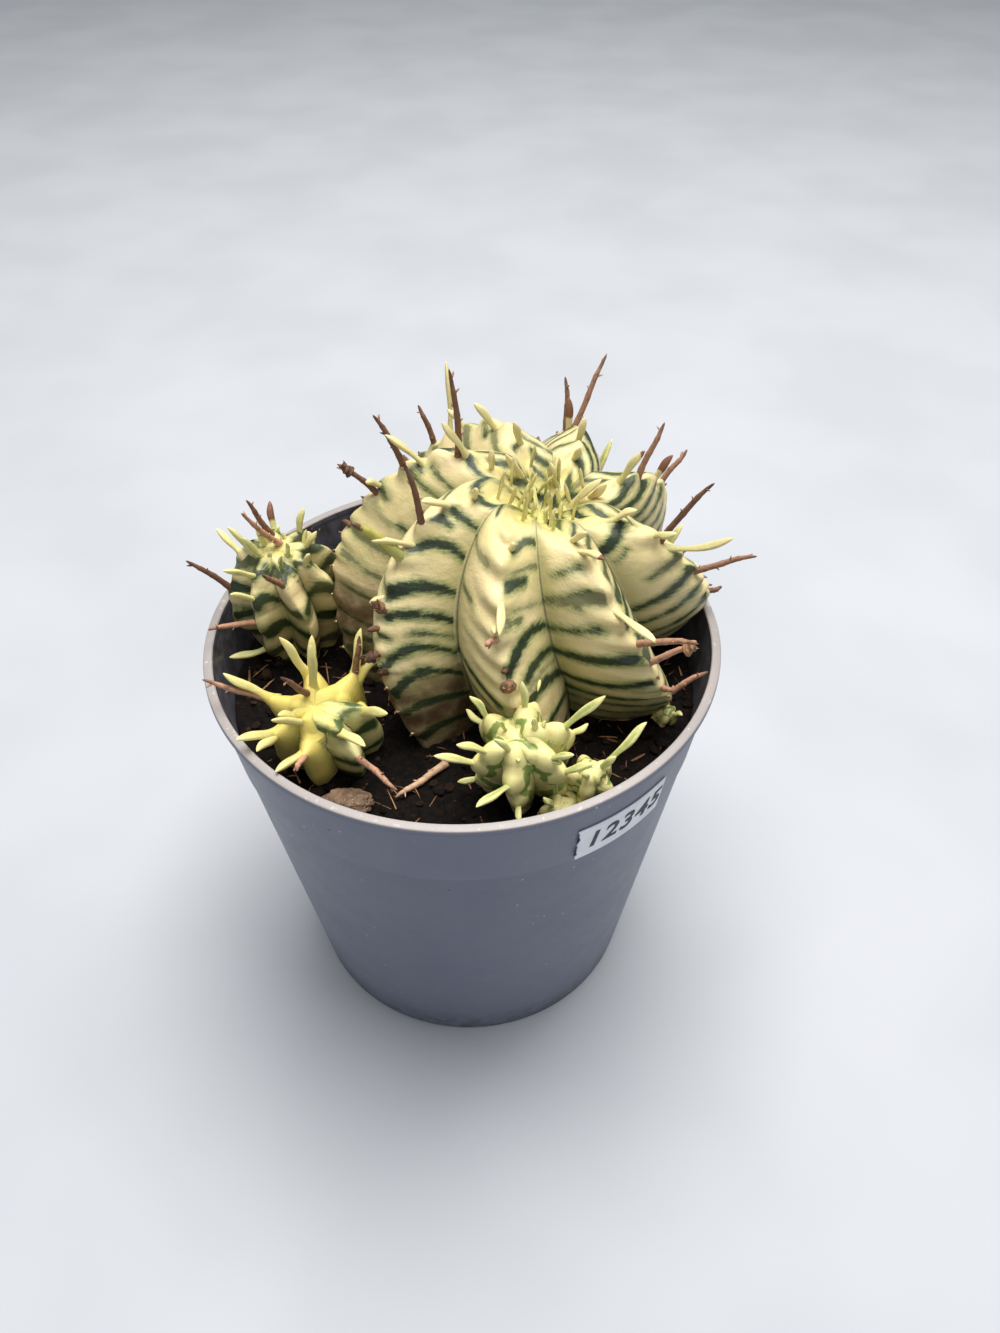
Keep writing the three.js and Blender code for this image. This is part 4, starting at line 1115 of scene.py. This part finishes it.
def make_soil(finish):
    """A square grid is drawn in to a disc, roughened, and closed by its sides and bottom."""
    step_inner = STEP_RADIUS - WALL
    rise = (SOIL_LEVEL - STEP_HEIGHT) / (INNER_WALL_TOP - STEP_HEIGHT)
    inner = step_inner + rise * (INNER_WALL_TOP_RADIUS - step_inner) - SOIL_GAP
    deselect()
    bpy.ops.mesh.primitive_grid_add(x_subdivisions=SOIL_CELLS, y_subdivisions=SOIL_CELLS, size=2)
    soil = just_made("peat_soil")
    flat = read_places(soil)
    x = flat[:, 0] * np.sqrt(1 - flat[:, 1] ** 2 / 2) * inner
    y = flat[:, 1] * np.sqrt(1 - flat[:, 0] ** 2 / 2) * inner
    write_places(soil, np.column_stack([x, y, soil_surface(x, y, inner)]))
    select_only(soil)
    bpy.ops.object.mode_set(mode="EDIT")
    bpy.ops.mesh.select_mode(type="EDGE")
    bpy.ops.mesh.select_all(action="DESELECT")
    bpy.ops.mesh.select_non_manifold()
    wide = step_inner - SOIL_GAP
    extruded((STEP_HEIGHT - SOIL_LEVEL) * MILLIMETRE, wide / inner, 0)
    extruded((POT_FLOOR + SOIL_GAP - STEP_HEIGHT) * MILLIMETRE, (BASE_RADIUS - WALL) / wide, 0)
    bpy.ops.mesh.edge_face_add()
    end_editing()
    shade_smooth(soil)
    write_values(soil, "tint", 0)
    return dress(soil, finish), inner


def soil_spot(random, inner, share):
    """A random place on the soil, within that share of its radius."""
    reach = inner * math.sqrt(next(random)) * share
    angle = 2 * math.pi * next(random)
    x, y = reach * math.cos(angle), reach * math.sin(angle)
    return np.array([x, y, float(soil_surface(np.array([x]), np.array([y]), inner)[0])])


def make_crumbs(inner, finish, seed):
    """Loose crumbs of peat, from one lump that is copied, roughened and squeezed."""
    deselect()
    bpy.ops.mesh.primitive_ico_sphere_add(subdivisions=1, radius=1)
    lump = just_made("crumb")
    random = draws(seed)
    shape = read_places(lump)
    copies = []
    for number in range(CRUMBS):
        spot = soil_spot(random, inner, 0.985)
        size = 0.22 + 1.1 * next(random) ** 3
        rough = np.array([0.75 + 0.5 * next(random) for vertex in shape])
        stretch = np.array([0.7 + 0.6 * next(random), 0.7 + 0.6 * next(random), 0.5 + 0.4 * next(random)])
        copy = copy_of(lump)
        points = shape * rough[:, None] * stretch * size
        write_places(copy, points + spot + [0, 0, 0.25 * size])
        write_values(copy, "tint", next(random) ** 2 * (0.5 - 0.4 * spot[0] / inner))
        copies.append(copy)
    bpy.data.objects.remove(lump)
    return joined("soil_crumbs", copies, finish)


def make_fibres(inner, finish, seed):
    """Thin plant fibres and twigs that lie in the peat."""
    random = draws(seed)
    copies = []
    for number in range(FIBRES):
        middle = soil_spot(random, inner, 0.96) + [0, 0, 0.15]
        length = 1.5 + 4.5 * next(random) ** 1.5
        heading = 2 * math.pi * next(random)
        along = np.array([math.cos(heading), math.sin(heading), 0.5 * (next(random) - 0.35)])
        start, end = middle - along * length / 2, middle + along * length / 2
        if max(np.hypot(*start[:2]), np.hypot(*end[:2])) > inner - 0.3:
            continue
        radius = 0.08 + 0.22 * next(random) ** 2
        broad = unit(np.cross(along, [0, 0, 1]))
        face = unit(np.cross(broad, along))
        bow = 0.5 * (next(random) - 0.5)
        fibre = bent_copy(BRACT, start, end, broad, face, bow, radius, radius * 0.8)
        write_values(fibre, "tint", next(random))
        copies.append(fibre)
    return joined("soil_fibres", copies, finish)


# The label

def wall_radius(height):
    share = (height - UPPER_WALL_START) / (POT_HEIGHT - RIM_THICKNESS - UPPER_WALL_START)
    return UPPER_WALL_RADIUS + share * UPPER_WALL_FLARE


def on_wall(along, height, proud):
    """A point on the pot's wall, from its angle in degrees and its height."""
    radius = wall_radius(height) + proud
    angle = np.radians(along)
    return np.column_stack([radius * np.cos(angle), radius * np.sin(angle), height])


def make_label():
    """A paper strip, bent round the wall, with its left end torn."""
    deselect()
    bpy.ops.mesh.primitive_grid_add(x_subdivisions=72, y_subdivisions=20, size=1)
    label = just_made("paper_label")
    flat = read_places(label)
    share = flat[:, 0] + 0.5
    height = LABEL_BOTTOM + (LABEL_TOP - LABEL_BOTTOM) * (flat[:, 1] + 0.5)
    torn = np.array([
        0.5 + 0.5 * noise.noise(Vector((value * 0.9, 2, 5))) + 0.5 * noise.noise(Vector((value * 3, 1, 2)))
        for value in height
    ])
    along = LABEL_START + torn + (LABEL_END - LABEL_START - torn) * share
    lifted = 0.5 * np.maximum(0, 1 - share * 14) * (1 + np.sin(height * 1.7))
    write_places(label, on_wall(along, height, LABEL_GAP + lifted * 0.4))
    thick = label.modifiers.new("thickness", "SOLIDIFY")
    thick.thickness = LABEL_THICKNESS * MILLIMETRE
    thick.offset = 1
    select_only(label)
    bpy.ops.object.modifier_apply(modifier=thick.name)
    bpy.ops.object.shade_smooth_by_angle(angle=math.radians(40))
    return dress(label, paper_finish())


def make_digits():
    """Plain digits, laid flat first and then bent onto the label."""
    deselect()
    bpy.ops.object.text_add()
    text = just_made("label_digits").data
    text.body = "12345"
    text.size = 5.6
    text.offset = 0.12
    text.extrude = 0.02
    text.space_character = 1.12
    text.align_x = "CENTER"
    text.align_y = "CENTER"
    text.resolution_u = 6
    bpy.ops.object.convert(target="MESH")
    digits = bpy.context.object
    flat = read_places(digits)
    middle_angle = (LABEL_START + LABEL_END) / 2 + 1.2
    height = (LABEL_BOTTOM + LABEL_TOP) / 2 - 0.1 + flat[:, 1]
    along = middle_angle + np.degrees((flat[:, 0] + 0.14 * flat[:, 1]) / wall_radius(height))
    write_places(digits, on_wall(along, height, DIGITS_GAP + flat[:, 2]))
    return dress(digits, ink_finish())


# The clod and the fallen stalk

def make_clod():
    deselect()
    bpy.ops.mesh.primitive_ico_sphere_add(subdivisions=5, radius=1)
    clod = just_made("dry_clod")
    ball = read_places(clod)
    lumps = np.array([noise.fractal(Vector(point) * 1.6, 0.9, 2.0, 3) for point in ball])
    grains = np.array([noise.fractal(Vector(point) * 7, 0.8, 2.0, 3) for point in ball])
    ball = ball * (1 + (0.16 * lumps + 0.05 * grains))[:, None]
    ball[:, 2] = np.maximum(-0.55, ball[:, 2])
    x, y, z = (ball * CLOD_HALF_SIZE).T
    sine, cosine = math.sin(CLOD_TURN_IN_RADIANS), math.cos(CLOD_TURN_IN_RADIANS)
    points = np.column_stack([x * cosine - y * sine, x * sine + y * cosine, z])
    write_places(clod, points + CLOD_PLACE)
    shade_smooth(clod)
    earth = Finish("dry_earth", 0.75, paint(96, 74, 56))
    earth.lay(earth.step(earth.noise(1.3, 4, 0.7), 0.3, 0.7), paint(142, 114, 90))
    glitter = earth.step(earth.cells(0.55), 0.16, 0.08)
    earth.lay(earth.times(glitter, 0.8), paint(225, 215, 200))
    earth.bump(earth.noise(0.6, 4, 0.7), 0.15)
    return dress(clod, earth.material)


def make_fallen_stalk(finish):
    up = np.array([0, 0, 1.0])
    ahead = unit(np.array(FALLEN_STALK_HEADING))
    crest = (None, ahead, up, np.cross(up, ahead))
    direction = growth_direction(crest, 0, 20)
    start = np.array(FALLEN_STALK_PLACE) - ahead * ROOT_DEPTH
    end = np.array(FALLEN_STALK_PLACE) + direction * FALLEN_STALK_LENGTH
    broad = unit(np.cross(direction, up))
    stalk = bent_copy(STALK, start, end, broad, up, 0, 0.6, 0.6, 0, 0.25)
    write_values(stalk, "tint", 0.4)
    scales = bracts(start, end, broad, up, 0, FALLEN_STALK_LENGTH, 0.5, draws(5))
    return joined("fallen_flower_stalk", [stalk] + scales, finish)


# The surroundings: floor, light and camera

def make_studio():
    deselect()
    bpy.ops.mesh.primitive_plane_add(size=6)
    floor = just_made("floor")
    finish = Finish("pale_floor", 0.8, paint(176, 180, 186))
    finish.lay(finish.step(finish.noise(60, 2), 0.3, 0.7), paint(183, 186, 192))
    dress(floor, finish.material)
    world = bpy.data.worlds.new("pale_room")
    bpy.context.scene.world = world
    world.use_nodes = True
    world.node_tree.nodes["Background"].inputs[0].default_value = (0.88, 0.94, 1.0, 1)
    world.node_tree.nodes["Background"].inputs[1].default_value = 0.3
    for name, power, size, place, colour in (
        ("key_light", 12.5, 0.6, (0.06, 0.12, 0.85), (1.0, 0.97, 0.93)),
        ("front_light", 1.3, 0.8, (0.1, -0.8, 0.55), (0.94, 0.97, 1.0)),
    ):
        data = bpy.data.lights.new(name, "AREA")
        data.energy = power
        data.size = size
        data.color = colour
        light = bpy.data.objects.new(name, data)
        light.location = place
        aim = Vector((0, 0, 0.06)) - Vector(place)
        light.rotation_euler = aim.to_track_quat("-Z", "Y").to_euler()
        bpy.context.scene.collection.objects.link(light)
    camera_data = bpy.data.cameras.new("camera")
    camera_data.lens = CAMERA_LENS
    camera_data.sensor_width = CAMERA_SENSOR
    camera_data.clip_start = 0.01
    camera = bpy.data.objects.new("camera", camera_data)
    camera.location = [value * MILLIMETRE for value in CAMERA_PLACE]
    camera.rotation_euler = (math.radians(90 - CAMERA_DOWN), 0, math.radians(-CAMERA_RIGHT))
    bpy.context.scene.collection.objects.link(camera)
    bpy.context.scene.camera = camera
    bpy.context.scene.view_settings.view_transform = "Standard"


def place(piece, slot, *nodes):
    """The piece rides on the pot's body and stands for its solid. The slot is not used."""
    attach(piece, "root")
    if nodes:
        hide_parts(*nodes)


make_studio()
LEAF = prototype("leaf_shape", LEAF_OUTLINE, 10)
STALK = prototype("stalk_shape", STALK_OUTLINE, 8)
BRACT = prototype("bract_shape", BRACT_OUTLINE, 5)

place(make_pot(), "pot_plastic", "pot")
peat = soil_finish("peat", paint(8, 7, 7), paint(26, 19, 15), paint(80, 56, 40))
fibre = soil_finish("plant_fibre", paint(74, 48, 32), paint(120, 80, 52), paint(176, 136, 96))
soil_piece, soil_radius = make_soil(peat)
place(soil_piece, "soil", "soil")
place(make_crumbs(soil_radius, peat, 41), "soil")
place(make_fibres(soil_radius, fibre, 63), "soil")
place(make_label(), "label_paper", "label")
place(make_digits(), "label_paper")
place(make_clod(), "clod", "clod")

dry = stalk_finish("dry_stalk", paint(110, 74, 52), paint(190, 144, 116), paint(64, 42, 30))
pale = stalk_finish("pale_stalk", paint(196, 160, 124), paint(214, 178, 150), paint(120, 86, 62))
bloom = stalk_finish("dry_flower", paint(80, 52, 34), paint(152, 112, 76), paint(42, 28, 20))
place(make_fallen_stalk(pale), "dry_stalk", "fallen_stalk")

striped = skin_finish(
    "striped_skin", paint(217, 198, 149), paint(200, 191, 118), paint(28, 42, 20), paint(106, 124, 68),
    paint(88, 65, 43), patches=0.95,
)
yellow = skin_finish(
    "yellow_skin", paint(216, 206, 146), paint(221, 202, 108), paint(34, 60, 28), paint(134, 150, 80),
    paint(150, 120, 44), relief=0.1,
)
young = skin_finish(
    "young_skin", paint(226, 214, 142), paint(226, 215, 146), paint(44, 88, 24), paint(156, 176, 84),
    paint(170, 160, 110), patches=0.9, relief=0.08,
)
cream_leaf = leaf_finish("cream_leaf", paint(224, 208, 154), paint(166, 178, 100), paint(212, 198, 144))
yellow_leaf = leaf_finish("yellow_leaf", paint(224, 212, 142), paint(160, 166, 96), paint(221, 202, 108))
green_leaf = leaf_finish("green_leaf", paint(224, 216, 150), paint(140, 162, 80), paint(208, 206, 134))
fresh_stalk = leaf_finish(
    "fresh_stalk", paint(186, 180, 92), paint(126, 136, 54), paint(190, 186, 110), paint(96, 62, 40),
)

main_growth = MAIN_GROWTH + teeth(MAIN_HEAD, MAIN_GROWTH, 23, 5, 15)
main_growth = main_growth + young_leaves(MAIN_HEAD, 11, (0, 0.5, 1), 3, 5.6)
front_growth = FRONT_GROWTH + young_leaves(FRONT_OFFSET, 13, (0,), 1.5, 2.6)
left_growth = LEFT_GROWTH + young_leaves(LEFT_OFFSET, 17, (0,), 2, 3.5) + [CURLED_LEAF]
HEADS = [
    ("main_head", MAIN_HEAD, main_growth, 32, 240, striped, cream_leaf, (0, 0.45)),
    ("left_offset", LEFT_OFFSET, left_growth, 18, 110, striped, green_leaf, (0.1, 0.6)),
    ("yellow_offset", YELLOW_OFFSET, YELLOW_GROWTH, 20, 110, yellow, yellow_leaf, (0, 0.5)),
    ("front_offset", FRONT_OFFSET, front_growth, 24, 110, young, green_leaf, (0.2, 0.8)),
    ("front_right_offset", FRONT_RIGHT_OFFSET, FRONT_RIGHT_GROWTH, 14, 60, young, green_leaf, (0.3, 0.8)),
    ("lower_front_offset", LOWER_FRONT_OFFSET, LOWER_FRONT_GROWTH, 14, 50, young, green_leaf, (0.3, 0.8)),
    ("right_bud", RIGHT_BUD, RIGHT_BUD_GROWTH, 12, 50, young, green_leaf, (0.5, 1)),
    ("back_offset", BACK_OFFSET, BACK_GROWTH, 14, 60, young, green_leaf, (0.4, 1)),
    ("right_offset", RIGHT_OFFSET, RIGHT_GROWTH, 14, 60, young, green_leaf, (0.4, 1)),
]
SKIN_SLOTS = {striped: "striped_skin", yellow: "yellow_skin", young: "young_skin"}
for number, (name, head, growth, columns, rows, skin, leaf, tint_range) in enumerate(HEADS):
    slot = SKIN_SLOTS[skin]
    place(head_skin(f"{name}_skin", head, growth, columns, rows, skin, 100 + 37 * number), slot, name)
    finishes = {"leaves": leaf, "stalks": dry, "stout_stalk": fresh_stalk, "flowers": bloom}
    for piece in grown_pieces(name, head, growth, finishes, 300 + number, tint_range):
        place(piece, "dry_stalk" if piece.name.endswith(("stalks", "flowers")) else slot, name)

for shape in (LEAF, STALK, BRACT):
    bpy.data.objects.remove(shape)
